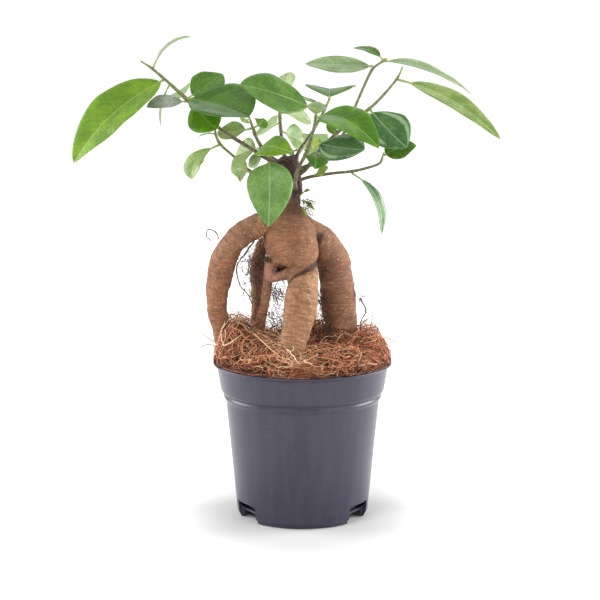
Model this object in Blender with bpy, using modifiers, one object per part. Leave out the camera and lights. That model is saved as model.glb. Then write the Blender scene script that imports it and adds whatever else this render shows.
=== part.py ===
"""A grafted ginseng fig standing in a round nursery pot.

Metres, +Z up, origin on the standing plane under the middle of the pot. The front faces -Y.
"""
import math
from typing import NamedTuple

import bmesh
import bpy
import numpy as np
from mathutils import Vector

MM = 0.001
GAP = 0.3                       # clearance between neighbours that touch, in mm like every size below

# Pot
POT_HEIGHT = 105.0
RIM_RADIUS = 60.0
BAND_TOP_RADIUS = 57.4
BAND_BOTTOM_RADIUS = 54.6
BAND_HEIGHT = 20.0
LEDGE_HEIGHT = 5.0
BODY_TOP_RADIUS = 51.4
BODY_BOTTOM_RADIUS = 44.0
FOOT_STEP = 3.0
WALL = 1.4
FLOOR_UNDERSIDE = 5.0
PAD_RADIUS = 12.0               # the flat middle of the floor, which stands level with the feet
NOTCH_HEIGHT = 12.0
NOTCH_ANGLES = (90.0, 210.0, 330.0)
NOTCH_WIDTH = 23.0
NOTCH_DEPTH = 7.0               # the cutter's depth, through the wall and the edge of the floor
POT_STEPS = 56                  # facets round the pot

# Filling
SOIL_TOP = 96.0
SOIL_CORNER = 5.0               # how far the soil rounds off at the floor
COIR_BOTTOM = SOIL_TOP + GAP
COIR_TOP = 107.0
COIR_RADIUS = 55.4
COIR_SPILL = 58.6               # the topping spreads a little over the lip
COIR_RINGS = 7
COIR_EDGE = 0.2                 # thickness of the topping's edge where it lies on the lip
COIR_TAPER = 2.4                # how much narrower the topping is at the soil than at the lip
ROUND_STEPS = 32                # facets round the soil and the topping

# Roots and shoots
SOCKET_CLEARANCE = 1.1
SOCKET_DEPTH = 3.0              # how far a socket goes on below the root's end
COLLAR_CLEARANCE = 0.7
ROOT_VOXEL = 1.3
ROOT_SPACING = 4.0
BRANCH_SPACING = 6.0
AERIAL_SPACING = 4.0

# Leaves
LEAF_THICKNESS = 0.6
PETIOLE_WIDTH = 1.4
LEAF_STATIONS = 9


class Mound(NamedTuple):
    """A heap of fibre on the topping: where its middle is, how wide it is and how far it rises."""
    x: float
    y: float
    spread: float
    rise: float


MOUNDS = (
    Mound(-50, -3, 14, 21),
    Mound(49, 6, 12, 15),
    Mound(8, 34, 20, 9),
    Mound(-24, -26, 14, 6),
    Mound(4, -6, 22, 4),
    Mound(24, -30, 12, 3),
)

# Routes of the swollen roots: x, y, z and radius at each bend
LEGS = {
    "left_root": (
        (-16, -5, 200, 8.6), (-27, -8, 199, 8.2), (-36, -8, 195, 8.0), (-44, -8, 189, 8.0), (-50, -8, 180, 8.4),
        (-54, -6, 167, 8.8), (-57, -4, 153, 7.6), (-57, -2, 141, 6.6), (-55, 0, 131, 6.4), (-52, 2, 119, 7.0),
        (-47, 3, 106, 6.0), (-44, 3, 90, 4.5),
    ),
    "centre_leg": (
        (0, -8, 184, 8.6), (1, -13, 173, 9.2), (0, -21, 161, 10.4), (-1, -28, 150, 11.0), (-3, -30, 139, 10.3),
        (-5, -33, 129, 9.3), (-7, -35, 120, 8.2), (-8, -36, 110, 7.0), (-9, -36, 90, 5.4),
    ),
    "right_root": (
        (-2, 0, 192, 10.0), (6, 3, 190, 10.2), (14, 6, 183, 10.6), (20, 8, 173, 11.0), (22.5, 10, 162, 11.4),
        (23.5, 10, 152, 11.7), (24.5, 10, 141, 11.4), (25.5, 10, 131, 11.0), (27, 10, 119, 10.4), (28, 10, 90, 8.0),
    ),
    "back_left_leg": (
        (-14, 8, 195, 6.0), (-22, 14, 186, 4.6), (-28, 18, 177, 4.2), (-31, 20, 165, 4.5), (-30, 20, 143, 4.4),
        (-30, 20, 125, 4.6), (-30, 20, 90, 4.5),
    ),
    "thin_root": (
        (-18, -4, 184, 5.0), (-22, -8, 174, 3.4), (-23, -9, 163, 3.0), (-24, -9, 154, 3.0), (-25, -9, 145, 3.2),
        (-28, -8, 134, 3.3), (-29, -6, 124, 3.4), (-30, -4, 112, 3.6), (-30, -3, 90, 3.0),
    ),
    "back_root": (
        (-4, 8, 192, 12.0), (-3, 18, 185, 10.0), (0, 28, 173, 8.4), (2, 35, 160, 7.4), (2, 38, 140, 7.2),
        (2, 38, 120, 7.4), (2, 38, 90, 6.5),
    ),
}
BULB = (
    ((-7, -2, 211, 5.0), (-8, -3, 204, 11.0), (-8, -6, 197, 15.4), (-8, -9, 188, 17.4), (-6, -13, 178, 16.6),
     (-7, -16, 171, 12.0)),
    ((-16, 0, 197, 11.0), (-6, 4, 193, 14.0), (4, 2, 191, 11.0)),
    ((-21, -14, 174, 4.0), (-22, -15, 167, 3.4), (-22, -14, 161, 2.0)),
    ((-21, -15, 163, 2.6), (-13, -17, 166, 3.6), (-4, -18, 170, 3.6)),
)
NECK = (
    ((-6, -2, 205, 8.0), (-6, -2, 211, 5.0), (-5, -1, 217, 3.9), (-4, 0, 223, 3.6), (-5, 0, 229, 4.4),
     (-8, 0, 234, 6.8), (-11, 0, 242, 8.2)),
    ((-18, -1, 236, 4.4), (-11, 0, 237, 6.0), (-4, 1, 238, 4.0)),
)

# Routes of the shoots: x, y, z and radius at each bend, from inside the stump or neck out to the bud
BRANCHES = {
    "branch_1": (
        (-14, -3, 238, 1.7), (-21, -7, 241, 1.4), (-35, -8, 250, 1.3), (-54, -6, 262, 1.2), (-76, -2, 281, 1.1),
        (-87, 0, 291, 1.0), (-99, 2, 301, 0.8), (-105, 2, 305, 0.5),
    ),
    "branch_2": (
        (-7, -2, 228, 1.4), (-15, -10, 229, 1.2), (-25, -14, 231, 1.1), (-34, -16, 235, 1.0), (-45, -16, 245, 0.9),
        (-54, -14, 253, 0.9), (-57, -13, 260, 0.7), (-57, -12, 266, 0.5),
    ),
    "branch_3": (
        (-4, 1, 226, 1.3), (4, 2, 229, 1.1), (19, -2, 232, 1.0), (33, -6, 234, 0.9), (44, -9, 237, 0.9),
        (51, -10, 240, 0.8), (53, -10, 245, 0.5),
    ),
    "branch_4": (
        (-4, -1, 221, 1.6), (-5, -8, 226, 1.4), (-3, -12, 236, 1.2), (2, -13, 246, 1.2), (5, -14, 255, 1.1),
        (8, -13, 266, 0.9), (9, -12, 275, 0.6),
    ),
    "branch_5": (
        (-6, 3, 232, 1.6), (1, 7, 235, 1.4), (15, 8, 240, 1.2), (23, 8, 249, 1.2), (29, 8, 261, 1.0),
        (36, 8, 278, 0.9), (43, 8, 294, 0.9), (47, 8, 301, 0.8), (54, 8, 306, 0.6),
    ),
    "branch_6": (
        (-5, -1, 230, 1.7), (2, -4, 235, 1.4), (11, -4, 247, 1.3), (25, -3, 261, 1.2), (44, -2, 275, 1.0),
        (54, -3, 285, 0.9), (62, -4, 295, 0.7), (65, -4, 301, 0.5),
    ),
    "branch_7": (
        (-11, 3, 240, 1.6), (-13, 10, 247, 1.3), (-15, 18, 264, 1.1), (-15, 21, 275, 0.9), (-14, 23, 284, 0.5),
    ),
    "branch_8": (
        (-16, 2, 239, 1.6), (-24, 8, 244, 1.3), (-30, 10, 253, 1.1), (-33, 10, 261, 0.9), (-35, 10, 267, 0.5),
    ),
    "branch_9": (
        (-6, 4, 237, 1.6), (-2, 14, 245, 1.3), (6, 28, 255, 1.1), (14, 40, 268, 0.9), (18, 46, 276, 0.5),
    ),
}


class Leaf(NamedTuple):
    """One leaf: the shoot it grows from and roughly where, its tip, its widest breadth and its petiole's length.

    bow is how far the middle of the midrib lies off the straight line from seat to tip, faces is the way the
    upper side looks, fold is the rise of the edges over the half breadth, and fullest is the share of the blade
    at which it is widest.
    """
    branch: str
    seat: tuple
    tip: tuple
    width: float
    petiole: float
    bow: tuple
    faces: tuple
    fold: float = 0.25
    fullest: float = 0.5


LEAVES = {
    # left shoot
    "leaf_left_wisp": Leaf("branch_1", (-98, 2, 302), (-74, 16, 321), 13, 5, (-3, 0, 4), (-6, 0, 7)),
    "leaf_left_large": Leaf("branch_1", (-95, 1, 294), (-149, -26, 242), 40, 1.5, (-4, -2, 4), (-5, -6, 6), 0.3, 0.44),
    "leaf_left_grey": Leaf("branch_1", (-79, -2, 284), (-82, 22, 279), 22, 2, (0, 0, 1), (-4, -1, 7)),
    "leaf_left_point": Leaf("branch_1", (-78, -3, 281), (-102, -12, 277), 15, 2, (0, 0, 1), (0, -5, 8), 0.3),
    "leaf_left_small": Leaf("branch_1", (-86, 1, 289), (-94, 8, 263), 7, 3, (-2, 0, 1), (-9, 0, 2)),
    "leaf_left_dark": Leaf("branch_1", (-75, -3, 281), (-35, -38, 273), 46, 2, (2, 0, 1), (0, -4, 9), 0.36, 0.52),
    "leaf_left_high": Leaf("branch_1", (-74, -2, 281), (-53, 16, 296), 24, 3, (0, 0, 0), (-3, -7, 5)),
    "leaf_left_under": Leaf("branch_1", (-72, -4, 278), (-56, -16, 263), 25, 1, (0, 0, -1), (2, -8, 4), 0.1),
    # low left shoot
    "leaf_low_left_droop": Leaf("branch_2", (-55, -12, 254), (-72, -22, 231), 20, 3, (-5, 0, 2), (-7, -5, 4), 0.25, 0.6),
    "leaf_low_left_thin": Leaf("branch_2", (-57, -11, 258), (-68, -6, 257), 5, 2, (0, 0, 1), (0, 0, 8)),
    "leaf_front": Leaf("branch_2", (-25, -14, 231), (-22, -44, 203), 30, 15.5, (2, 1, 24), (0, -9, 2), 0.1, 0.55),
    "leaf_front_folded": Leaf("branch_2", (-34, -16, 235), (-46, -30, 236), 18, 2, (-1, -1, 3), (8, -6, 1), 0.2),
    # back left shoot
    "leaf_mid_left_pale": Leaf("branch_8", (-32, 10, 258), (-57, 22, 257), 18, 4, (0, 0, -1), (0, -6, 7)),
    "leaf_mid_left_shoot": Leaf("branch_8", (-34, 10, 265), (-40, 2, 266), 8, 2, (0, 0, 0), (0, -7, 6)),
    "leaf_mid_left_grey": Leaf("branch_8", (-28, 9, 248), (-45, 26, 240), 20, 4, (0, 0, 1), (-2, -7, 6)),
    "leaf_mid_left_little": Leaf("branch_8", (-23, 7, 243), (-36, 16, 234), 10, 3, (0, 0, 1), (-2, -7, 5)),
    "leaf_mid_left_upright": Leaf("branch_8", (-32, 10, 258), (-26, 4, 268), 10, 2, (1, 0, 0), (2, -8, 3)),
    "leaf_middle": Leaf("branch_1", (-28, -8, 246), (-7, -36, 250), 21, 3, (-4, 0, 4), (-1, -7, 8), 0.1),
    # back shoot
    "leaf_back_round": Leaf("branch_7", (-15, 19, 266), (-28, 42, 258), 20, 4, (0, 0, -1), (-1, -7, 6)),
    "leaf_back_striped": Leaf("branch_7", (-15, 20, 268), (6, 46, 261), 16, 4, (0, 0, 2), (1, -7, 6)),
    "leaf_back_low": Leaf("branch_7", (-14, 16, 261), (2, 38, 247), 20, 4, (0, 0, 0), (1, -8, 5)),
    "leaf_back_high": Leaf("branch_7", (-15, 22, 279), (-9, 44, 295), 14, 4, (0, 0, 1), (-2, -2, 8)),
    "leaf_behind_middle": Leaf("branch_9", (-1, 16, 247), (-10, 12, 244), 9, 2, (0, 0, 0), (0, -8, 5)),
    # middle shoot
    "leaf_top_large": Leaf("branch_4", (9, -12, 274), (-40, -38, 294), 31, 5, (0, 0, 2), (-1, -7, 7), 0.12),
    "leaf_node_grey": Leaf("branch_4", (8, -13, 271), (10, 4, 279), 12, 3, (0, 0, 0), (0, -8, 5)),
    "leaf_node_bract": Leaf("branch_4", (4, -14, 252), (12, -22, 254), 9, 2, (0, 0, 1), (1, -8, 5)),
    "leaf_right_blue": Leaf("branch_4", (5, -14, 255), (40, -38, 252), 30, 6, (0, 0, -1), (1, -6, 7), 0.1),
    "leaf_right_bright": Leaf("branch_4", (8, -13, 269), (49, -46, 254), 29, 4, (-1, -1, 8), (1, -5, 8), 0.25, 0.44),
    "leaf_low_middle_dark": Leaf("branch_4", (2, -13, 246), (8, -33, 239), 18, 3, (3, 0, 4), (3, -7, 4), 0.1),
    # low right shoot
    "leaf_low_right_shoot": Leaf("branch_3", (10, 0, 230), (17, -12, 237), 8, 2, (0, 0, 0), (0, -7, 5)),
    "leaf_low_right_hang": Leaf("branch_3", (33, -6, 234), (52, -14, 193), 11, 6, (6, 0, 4), (7, -5, 2)),
    "leaf_low_right_end": Leaf("branch_3", (52, -10, 243), (75, -6, 251), 17, 0.5, (-1, 0, 1), (2, -6, 6), 0.25, 0.42),
    # tall right shoot
    "leaf_right_inner": Leaf("branch_5", (26, 8, 255), (16, 14, 263), 6, 2, (0, 0, 0), (-2, -6, 6)),
    "leaf_top_pale": Leaf("branch_5", (46, 8, 299), (2, 4, 304), 20, 1.5, (0, 0, 0), (0, -5, 9), 0.15, 0.48),
    "leaf_top_small": Leaf("branch_5", (53, 8, 305), (34, 22, 313), 8, 3, (2, 0, 2), (-2, -2, 8)),
    "leaf_top_right": Leaf("branch_5", (54, 8, 306), (112, 18, 283), 14, 2, (1, 0, 5), (3, -3, 9), 0.25, 0.42),
    # outer right shoot
    "leaf_far_right": Leaf("branch_6", (62, -4, 295), (129, -22, 257), 20, 8, (2, 1, 5), (4, -5, 7), 0.25, 0.45),
    "leaf_right_dark": Leaf("branch_6", (44, -2, 274), (68, -18, 251), 33, 1.5, (-1, 0, 0), (4, -8, 4), 0.2, 0.52),
    # back right shoot
    "leaf_right_pair": Leaf("branch_9", (18, 46, 275), (20, 84, 277), 35, 3, (0, 0, 5), (0, -4, 9), 0.25),
    "leaf_rear_left": Leaf("branch_9", (15, 42, 270), (-30, 68, 274), 28, 6, (0, 0, 4), (-2, 3, 8)),
    "leaf_rear_right": Leaf("branch_9", (12, 37, 265), (50, 58, 258), 28, 6, (0, 0, 4), (2, 3, 8)),
    "leaf_rear_low": Leaf("branch_9", (6, 28, 255), (6, 66, 236), 24, 6, (0, 0, 5), (0, 4, 7)),
}

# Fine roots that hang between the legs: x, y, z and radius at each bend
AERIAL_ROOTS = {
    "aerial_root_left": (
        (-32, 4, 186, 0.9), (-38, 3, 178, 0.8), (-43, 2, 169, 0.8), (-41, 1, 159, 0.7), (-35, 0, 151, 0.6),
        (-33, 0, 144, 0.5),
    ),
    "aerial_root_right": (
        (38.4, 4, 147, 0.9), (43, 3, 138, 0.8), (40, 2, 131, 0.7), (39.6, 1, 125, 0.6),
    ),
    "aerial_root_curl": (
        (-55.5, -9, 189, 0.6), (-58, -9, 194, 0.6), (-63, -9, 196, 0.5), (-64, -9, 191, 0.5), (-61, -9, 188, 0.4),
    ),
}


def direction(vector):
    """The unit vector along a sequence of three numbers."""
    return Vector(vector).normalized()


def material(name, colour, roughness):
    """A plain finish."""
    finish = bpy.data.materials.new(name)
    finish.use_nodes = True
    shader = finish.node_tree.nodes["Principled BSDF"]
    shader.inputs["Base Color"].default_value = (*colour, 1.0)
    shader.inputs["Roughness"].default_value = roughness
    return finish


def place(name, data, collection, finish=None):
    """Link a new object that holds a mesh or a curve."""
    item = bpy.data.objects.new(name, data)
    collection.objects.link(item)
    if finish:
        data.materials.append(finish)
    return item


def as_mesh(item):
    """Swap an object for one with its evaluated, welded mesh."""
    graph = bpy.context.evaluated_depsgraph_get()
    mesh = bpy.data.meshes.new_from_object(item.evaluated_get(graph))
    shell = bmesh.new()
    shell.from_mesh(mesh)
    bmesh.ops.remove_doubles(shell, verts=shell.verts, dist=0.00001)
    shell.to_mesh(mesh)
    shell.free()
    name, home, matrix = item.name, item.users_collection[0], item.matrix_world.copy()
    bpy.data.objects.remove(item)
    swapped = bpy.data.objects.new(name, mesh)
    home.objects.link(swapped)
    swapped.matrix_world = matrix
    return swapped


def hide_as_cutter(item):
    """Keep a cutter out of the model."""
    item.hide_render = True
    item.display_type = "WIRE"


def cut(item, cutter, name):
    """Take a cutter's shape out of an object."""
    hide_as_cutter(cutter)
    boolean = item.modifiers.new(name, "BOOLEAN")
    boolean.operation = "DIFFERENCE"
    boolean.object = cutter


def smooth_route(bends, spacing):
    """Points about one spacing apart on the smooth curve through the bends, each with its radius."""
    knots = [np.array(bend, dtype=float) for bend in bends]
    knots = [2 * knots[0] - knots[1], *knots, 2 * knots[-1] - knots[-2]]
    route = []
    for before, start, end, after in zip(knots, knots[1:], knots[2:], knots[3:]):
        count = max(1, round(float(np.linalg.norm((end - start)[:3])) / spacing))
        for step in range(count):
            t = step / count
            route.append(0.5 * (2 * start + (end - before) * t + (2 * before - 5 * start + 4 * end - after) * t**2
                                + (3 * start - before - 3 * end + after) * t**3))
    return [*route, knots[-2]]


def tubes(name, routes, collection, finish=None, swell=0.0, roundness=2):
    """One curve object with a round tube of varying radius along each route, its ends capped."""
    curve = bpy.data.curves.new(name, "CURVE")
    curve.dimensions = "3D"
    curve.bevel_depth = MM
    curve.bevel_resolution = roundness
    curve.use_fill_caps = True
    for route in routes:
        spline = curve.splines.new("POLY")
        spline.points.add(len(route) - 1)
        for point, (x, y, z, radius) in zip(spline.points, route):
            point.co = (x * MM, y * MM, z * MM, 1.0)
            point.radius = radius + swell
    return place(name, curve, collection, finish)


def grown_together(item, voxel, triangles_kept):
    """Melt an object's overlapping tubes into one smooth skin."""
    remesh = item.modifiers.new("one_skin", "REMESH")
    remesh.mode = "VOXEL"
    remesh.voxel_size = voxel * MM
    remesh.use_smooth_shade = True
    smooth = item.modifiers.new("soften", "SMOOTH")
    smooth.factor = 0.5
    smooth.iterations = 4
    decimate = item.modifiers.new("coarsen", "DECIMATE")
    decimate.ratio = triangles_kept


def turned(name, profile, steps, collection, finish=None):
    """A solid of revolution about Z from a profile of radius and height, in millimetres."""
    mesh = bpy.data.meshes.new(name)
    mesh.from_pydata([(r * MM, 0, z * MM) for r, z in profile], [(i, i + 1) for i in range(len(profile) - 1)], [])
    item = place(name, mesh, collection, finish)
    screw = item.modifiers.new("turn", "SCREW")
    screw.axis = "Z"
    screw.steps = steps
    screw.render_steps = steps
    screw.use_merge_vertices = True
    screw.merge_threshold = 0.00001
    screw.use_smooth_shade = True
    return item


def pot_profile():
    """Half the pot's section: along the floor from the middle, up the inside, over the lip and down the outside."""
    band_foot = POT_HEIGHT - BAND_HEIGHT
    ledge_foot = band_foot - LEDGE_HEIGHT
    floor_top = FLOOR_UNDERSIDE + WALL
    inner_floor_radius = BODY_BOTTOM_RADIUS - WALL
    inside = [
        (0, floor_top),
        (inner_floor_radius - 2, floor_top),
        (inner_floor_radius, floor_top + 2),
        (BODY_TOP_RADIUS - WALL, ledge_foot),
        (BAND_BOTTOM_RADIUS - WALL, band_foot),
        (BAND_TOP_RADIUS - WALL, POT_HEIGHT),
    ]
    outside = [
        (RIM_RADIUS, POT_HEIGHT),
        (RIM_RADIUS, POT_HEIGHT - 1.2),
        (BAND_TOP_RADIUS, POT_HEIGHT - 2.2),
        (BAND_BOTTOM_RADIUS + 0.3, band_foot + 1.5),
        (BAND_BOTTOM_RADIUS - 0.6, band_foot),
        (BODY_TOP_RADIUS + 0.6, ledge_foot + 1.6),
        (BODY_TOP_RADIUS, ledge_foot),
        (BODY_BOTTOM_RADIUS, FOOT_STEP),
        (BODY_BOTTOM_RADIUS - 0.9, FOOT_STEP - 0.6),
        (BODY_BOTTOM_RADIUS - 1.6, 0),
    ]
    underside = [
        (BODY_BOTTOM_RADIUS - 3.4, 0),
        (BODY_BOTTOM_RADIUS - 3.4, FLOOR_UNDERSIDE),
        (PAD_RADIUS + 2, FLOOR_UNDERSIDE),
        (PAD_RADIUS, 0),
        (0, 0),
    ]
    return inside + outside + underside


def build_pot(parts, cutters):
    """The thin moulded pot, with a drain notch through each gap between its three feet."""
    pot = turned("pot", pot_profile(), POT_STEPS, parts, material("pot_plastic", (0.095, 0.09, 0.12), 0.42))
    for index, angle in enumerate(NOTCH_ANGLES, start=1):
        name = f"drain_notch_{index}"
        bpy.ops.mesh.primitive_cube_add(size=1)
        notch = bpy.context.object
        notch.name = name
        notch.users_collection[0].objects.unlink(notch)
        cutters.objects.link(notch)
        notch.scale = (NOTCH_DEPTH * MM, NOTCH_WIDTH * MM, 2 * NOTCH_HEIGHT * MM)
        reach = BODY_BOTTOM_RADIUS * MM
        turn = math.radians(angle)
        notch.location = (reach * math.cos(turn), reach * math.sin(turn), 0)
        notch.rotation_euler.z = turn
        cut(pot, notch, name)


def build_soil(parts, sockets):
    """The soil that fills the pot up to the topping."""
    floor_top = FLOOR_UNDERSIDE + WALL + GAP
    bottom_radius = BODY_BOTTOM_RADIUS - WALL - GAP
    band_foot = POT_HEIGHT - BAND_HEIGHT
    ledge_foot = band_foot - LEDGE_HEIGHT
    top_radius = BAND_BOTTOM_RADIUS - WALL - 2 * GAP
    profile = [
        (0, SOIL_TOP),
        (top_radius, SOIL_TOP),
        (top_radius, band_foot + 1),
        (BODY_TOP_RADIUS - WALL - 2 * GAP, ledge_foot),
        (bottom_radius - GAP, floor_top + SOIL_CORNER),
        (bottom_radius - SOIL_CORNER, floor_top),
        (0, floor_top),
    ]
    soil = turned("potting_soil", profile, ROUND_STEPS, parts, material("soil", (0.045, 0.03, 0.022), 0.95))
    cut(soil, sockets, "root_sockets")


def coir_lift(x, y):
    """How far the heaps raise the topping at a place, in millimetres."""
    heaps = sum(m.rise * math.exp(-((x - m.x) ** 2 + (y - m.y) ** 2) / (2 * m.spread**2)) for m in MOUNDS)
    edge = math.hypot(x, y) / COIR_SPILL
    return heaps * (1 - edge**12)


def build_coir(parts, sockets):
    """The fibre topping: a disc that fills the rim, heaped up by the mounds."""
    lip = POT_HEIGHT + GAP
    top = [(COIR_SPILL * ring / COIR_RINGS, COIR_TOP) for ring in range(COIR_RINGS)]
    side = [(COIR_SPILL, lip + COIR_EDGE), (COIR_RADIUS, lip), (COIR_RADIUS - COIR_TAPER, COIR_BOTTOM)]
    coir = turned("coir_mulch", [*top, *side, (0, COIR_BOTTOM)], ROUND_STEPS, parts)
    coir = as_mesh(coir)
    coir.data.materials.append(material("coir", (0.33, 0.12, 0.05), 0.9))
    for vertex in coir.data.vertices:
        if vertex.co.z > (lip + COIR_EDGE + GAP) * MM:
            vertex.co.z += coir_lift(vertex.co.x / MM, vertex.co.y / MM) * MM
    cut(coir, sockets, "root_sockets")


def build_roots(parts, cutters):
    """The swollen root with its neck and stump, and the cutters that clear its neighbours."""
    legs = [smooth_route(bends, ROOT_SPACING) for bends in LEGS.values()]
    body = [smooth_route(bends, ROOT_SPACING) for bends in BULB + NECK]
    bark = material("bark", (0.30, 0.15, 0.08), 0.75)
    root = as_mesh(tubes("root_trunk", legs + body, parts, bark, roundness=4))
    grown_together(root, ROOT_VOXEL, 0.075)
    deeper = [[*leg, leg[-1] - np.array((0, 0, SOCKET_DEPTH, 0))] for leg in legs]
    sockets = as_mesh(tubes("root_sockets", deeper, cutters, swell=SOCKET_CLEARANCE, roundness=3))
    grown_together(sockets, 1.5 * ROOT_VOXEL, 0.2)
    hide_as_cutter(sockets)
    collar = as_mesh(tubes("neck_collar", body, cutters, swell=COLLAR_CLEARANCE, roundness=4))
    grown_together(collar, ROOT_VOXEL, 0.4)
    hide_as_cutter(collar)
    return sockets, collar


def build_branches(parts, collar):
    """The shoots, each shaped at its foot to the stump or neck that it grows from."""
    finish = material("green_stem", (0.20, 0.28, 0.07), 0.6)
    routes = {}
    for name, bends in BRANCHES.items():
        routes[name] = smooth_route(bends, BRANCH_SPACING)
        branch = as_mesh(tubes(name, [routes[name]], parts, finish))
        cut(branch, collar, "collar")
    return routes


def seat_on(route, leaf):
    """Where a leaf's stalk meets its shoot: clear of the bark, on the side that the leaf grows to."""
    near = min(range(len(route)), key=lambda i: (Vector(route[i][:3]) - Vector(leaf.seat)).length)
    core = Vector(route[near][:3])
    reach = Vector(leaf.tip) - core
    clearance = route[near][3] + LEAF_THICKNESS + GAP
    if 0 < near < len(route) - 1:
        along = direction(Vector(route[near + 1][:3]) - Vector(route[near - 1][:3]))
        reach -= along * reach.dot(along)
    return core + reach.normalized() * clearance


def half_breadth(leaf, share):
    """Half the leaf's breadth at a share of its blade."""
    stretch = math.log(0.5) / math.log(leaf.fullest)
    body = math.sin(math.pi * share**stretch) ** 0.75 if 0 < share < 1 else 0.0
    return max(PETIOLE_WIDTH / 2, leaf.width / 2 * body)


def leaf_point(leaf, base, across, along):
    """A place on a leaf's skin: across from -1 to 1 between its edges, along from 0 at the stalk to 1 at the tip."""
    tip = Vector(leaf.tip)
    crown = (base + tip) / 2 + 2 * Vector(leaf.bow)
    middle = base * (1 - along) ** 2 + crown * (2 * along * (1 - along)) + tip * along**2
    tangent = ((crown - base) * (1 - along) + (tip - crown) * along).normalized()
    sideways = tangent.cross(direction(leaf.faces)).normalized()
    upward = sideways.cross(tangent)
    stalk = leaf.petiole / (tip - base).length
    share = max(0.0, (along - stalk) / (1 - stalk))
    breadth = half_breadth(leaf, share) if along < 1 else PETIOLE_WIDTH / 2
    lift = leaf.fold * abs(across) * breadth
    return middle + sideways * (across * breadth) + upward * lift


def build_leaf(name, leaf, route, parts, finish):
    """One leaf with its stalk, as a folded sheet thickened to both sides."""
    base = seat_on(route, leaf)
    sheet = bmesh.new()
    bmesh.ops.create_grid(sheet, x_segments=2, y_segments=LEAF_STATIONS, size=1)
    for vertex in sheet.verts:
        vertex.co = leaf_point(leaf, base, vertex.co.x, (vertex.co.y + 1) / 2) * MM
    mesh = bpy.data.meshes.new(name)
    sheet.to_mesh(mesh)
    sheet.free()
    mesh.shade_smooth()
    item = place(name, mesh, parts, finish)
    solidify = item.modifiers.new("thickness", "SOLIDIFY")
    solidify.thickness = LEAF_THICKNESS * MM
    solidify.offset = 0


def main():
    for item in list(bpy.data.objects):
        bpy.data.objects.remove(item, do_unlink=True)
    parts = bpy.data.collections.new("bonsai_tree_in_a_pot")
    cutters = bpy.data.collections.new("cutters")
    for collection in (parts, cutters):
        bpy.context.scene.collection.children.link(collection)
    build_pot(parts, cutters)
    sockets, collar = build_roots(parts, cutters)
    build_soil(parts, sockets)
    build_coir(parts, sockets)
    routes = build_branches(parts, collar)
    green = material("leaf_green", (0.08, 0.25, 0.05), 0.4)
    for name, leaf in LEAVES.items():
        build_leaf(name, leaf, routes[leaf.branch], parts, green)
    root_brown = material("fine_root", (0.16, 0.08, 0.04), 0.8)
    for name, bends in AERIAL_ROOTS.items():
        tubes(name, [smooth_route(bends, AERIAL_SPACING)], parts, root_brown)


main()
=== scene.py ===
"""The finished look of a grafted ginseng fig in a round nursery pot.

It is laid out as a Blender add-on and run as a script. Lengths in the tables are millimetres in the
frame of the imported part: +Z up, the front towards -Y, the origin on the standing plane under the pot.
"""

import math
from typing import NamedTuple

import bpy
import numpy as np
from bpy.props import FloatProperty, FloatVectorProperty, IntProperty, PointerProperty
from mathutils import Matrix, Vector, noise


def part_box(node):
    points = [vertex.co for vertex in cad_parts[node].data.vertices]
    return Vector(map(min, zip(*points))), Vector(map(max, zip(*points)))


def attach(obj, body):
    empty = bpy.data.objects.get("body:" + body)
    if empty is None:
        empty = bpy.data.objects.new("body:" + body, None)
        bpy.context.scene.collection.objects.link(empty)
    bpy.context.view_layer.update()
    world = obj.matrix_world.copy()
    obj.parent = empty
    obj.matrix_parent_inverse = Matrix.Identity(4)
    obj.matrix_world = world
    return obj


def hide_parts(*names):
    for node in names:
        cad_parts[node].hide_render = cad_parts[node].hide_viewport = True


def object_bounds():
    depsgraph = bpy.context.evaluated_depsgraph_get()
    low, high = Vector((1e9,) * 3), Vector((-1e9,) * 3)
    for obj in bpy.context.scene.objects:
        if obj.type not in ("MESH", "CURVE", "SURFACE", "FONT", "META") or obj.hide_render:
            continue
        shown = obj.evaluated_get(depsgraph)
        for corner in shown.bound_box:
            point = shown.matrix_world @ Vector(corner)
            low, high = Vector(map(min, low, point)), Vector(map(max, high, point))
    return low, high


bl_info = {
    "name": "Potted ginseng fig",
    "version": (1, 0, 0),
    "blender": (4, 5, 0),
    "location": "3D View > Sidebar > Fig",
    "description": "Builds the finished surfaces of a potted ginseng fig round its packed solids",
    "category": "Object",
}

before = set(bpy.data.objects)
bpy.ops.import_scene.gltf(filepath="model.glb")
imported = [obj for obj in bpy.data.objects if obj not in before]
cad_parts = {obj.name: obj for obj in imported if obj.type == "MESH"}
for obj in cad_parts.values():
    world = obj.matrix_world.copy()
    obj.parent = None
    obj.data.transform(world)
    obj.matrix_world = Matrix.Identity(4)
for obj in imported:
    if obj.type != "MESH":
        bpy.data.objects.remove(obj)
CAD_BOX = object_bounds()
MM = 0.001
BODY = "root"

# The pot, from the frame, and the steps that its mould gives it
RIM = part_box("pot")[1].x / MM
POT_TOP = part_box("pot")[1].z / MM
WALL = 1.4
INNER_FLOOR = 6.4
RECESS = 5.0                    # height of the hollow under the pot's foot
NOTCH_ANGLES = (90.0, 210.0, 330.0)
NOTCH_SIZE = (9.4, 23.0, 24.0)
NOTCH_EDGE = 0.06
POT_FACETS = 160

# The fibre topping
LIP_SPREAD = 58.6               # radius that the fibre reaches, over the rim
RIM_INSIDE = 54.0               # radius beyond which a strand lies on the rim
FIBRE_LEVEL = 107.0
BED_DEPTH = 4.6                 # how far under the strands the matted bed lies
BED_BOTTOM = 97.0
BED_MARGIN = 4.2                # how much less wide it is than the strands
BED_RINGS = 46
BED_SPOKES = 150
FIBRE_SEED = 11
STRAND_HEAP = 11.0              # how far the strands heap up, most of them near the bottom of the heap
STRAND_SINK = 3.4
FOOT_SHARE = 6                  # one strand in so many more clings to the foot of a root
STRAND_POINTS = 10
STRAND_SIDES = 4
STRAY_SIDES = 5

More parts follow.
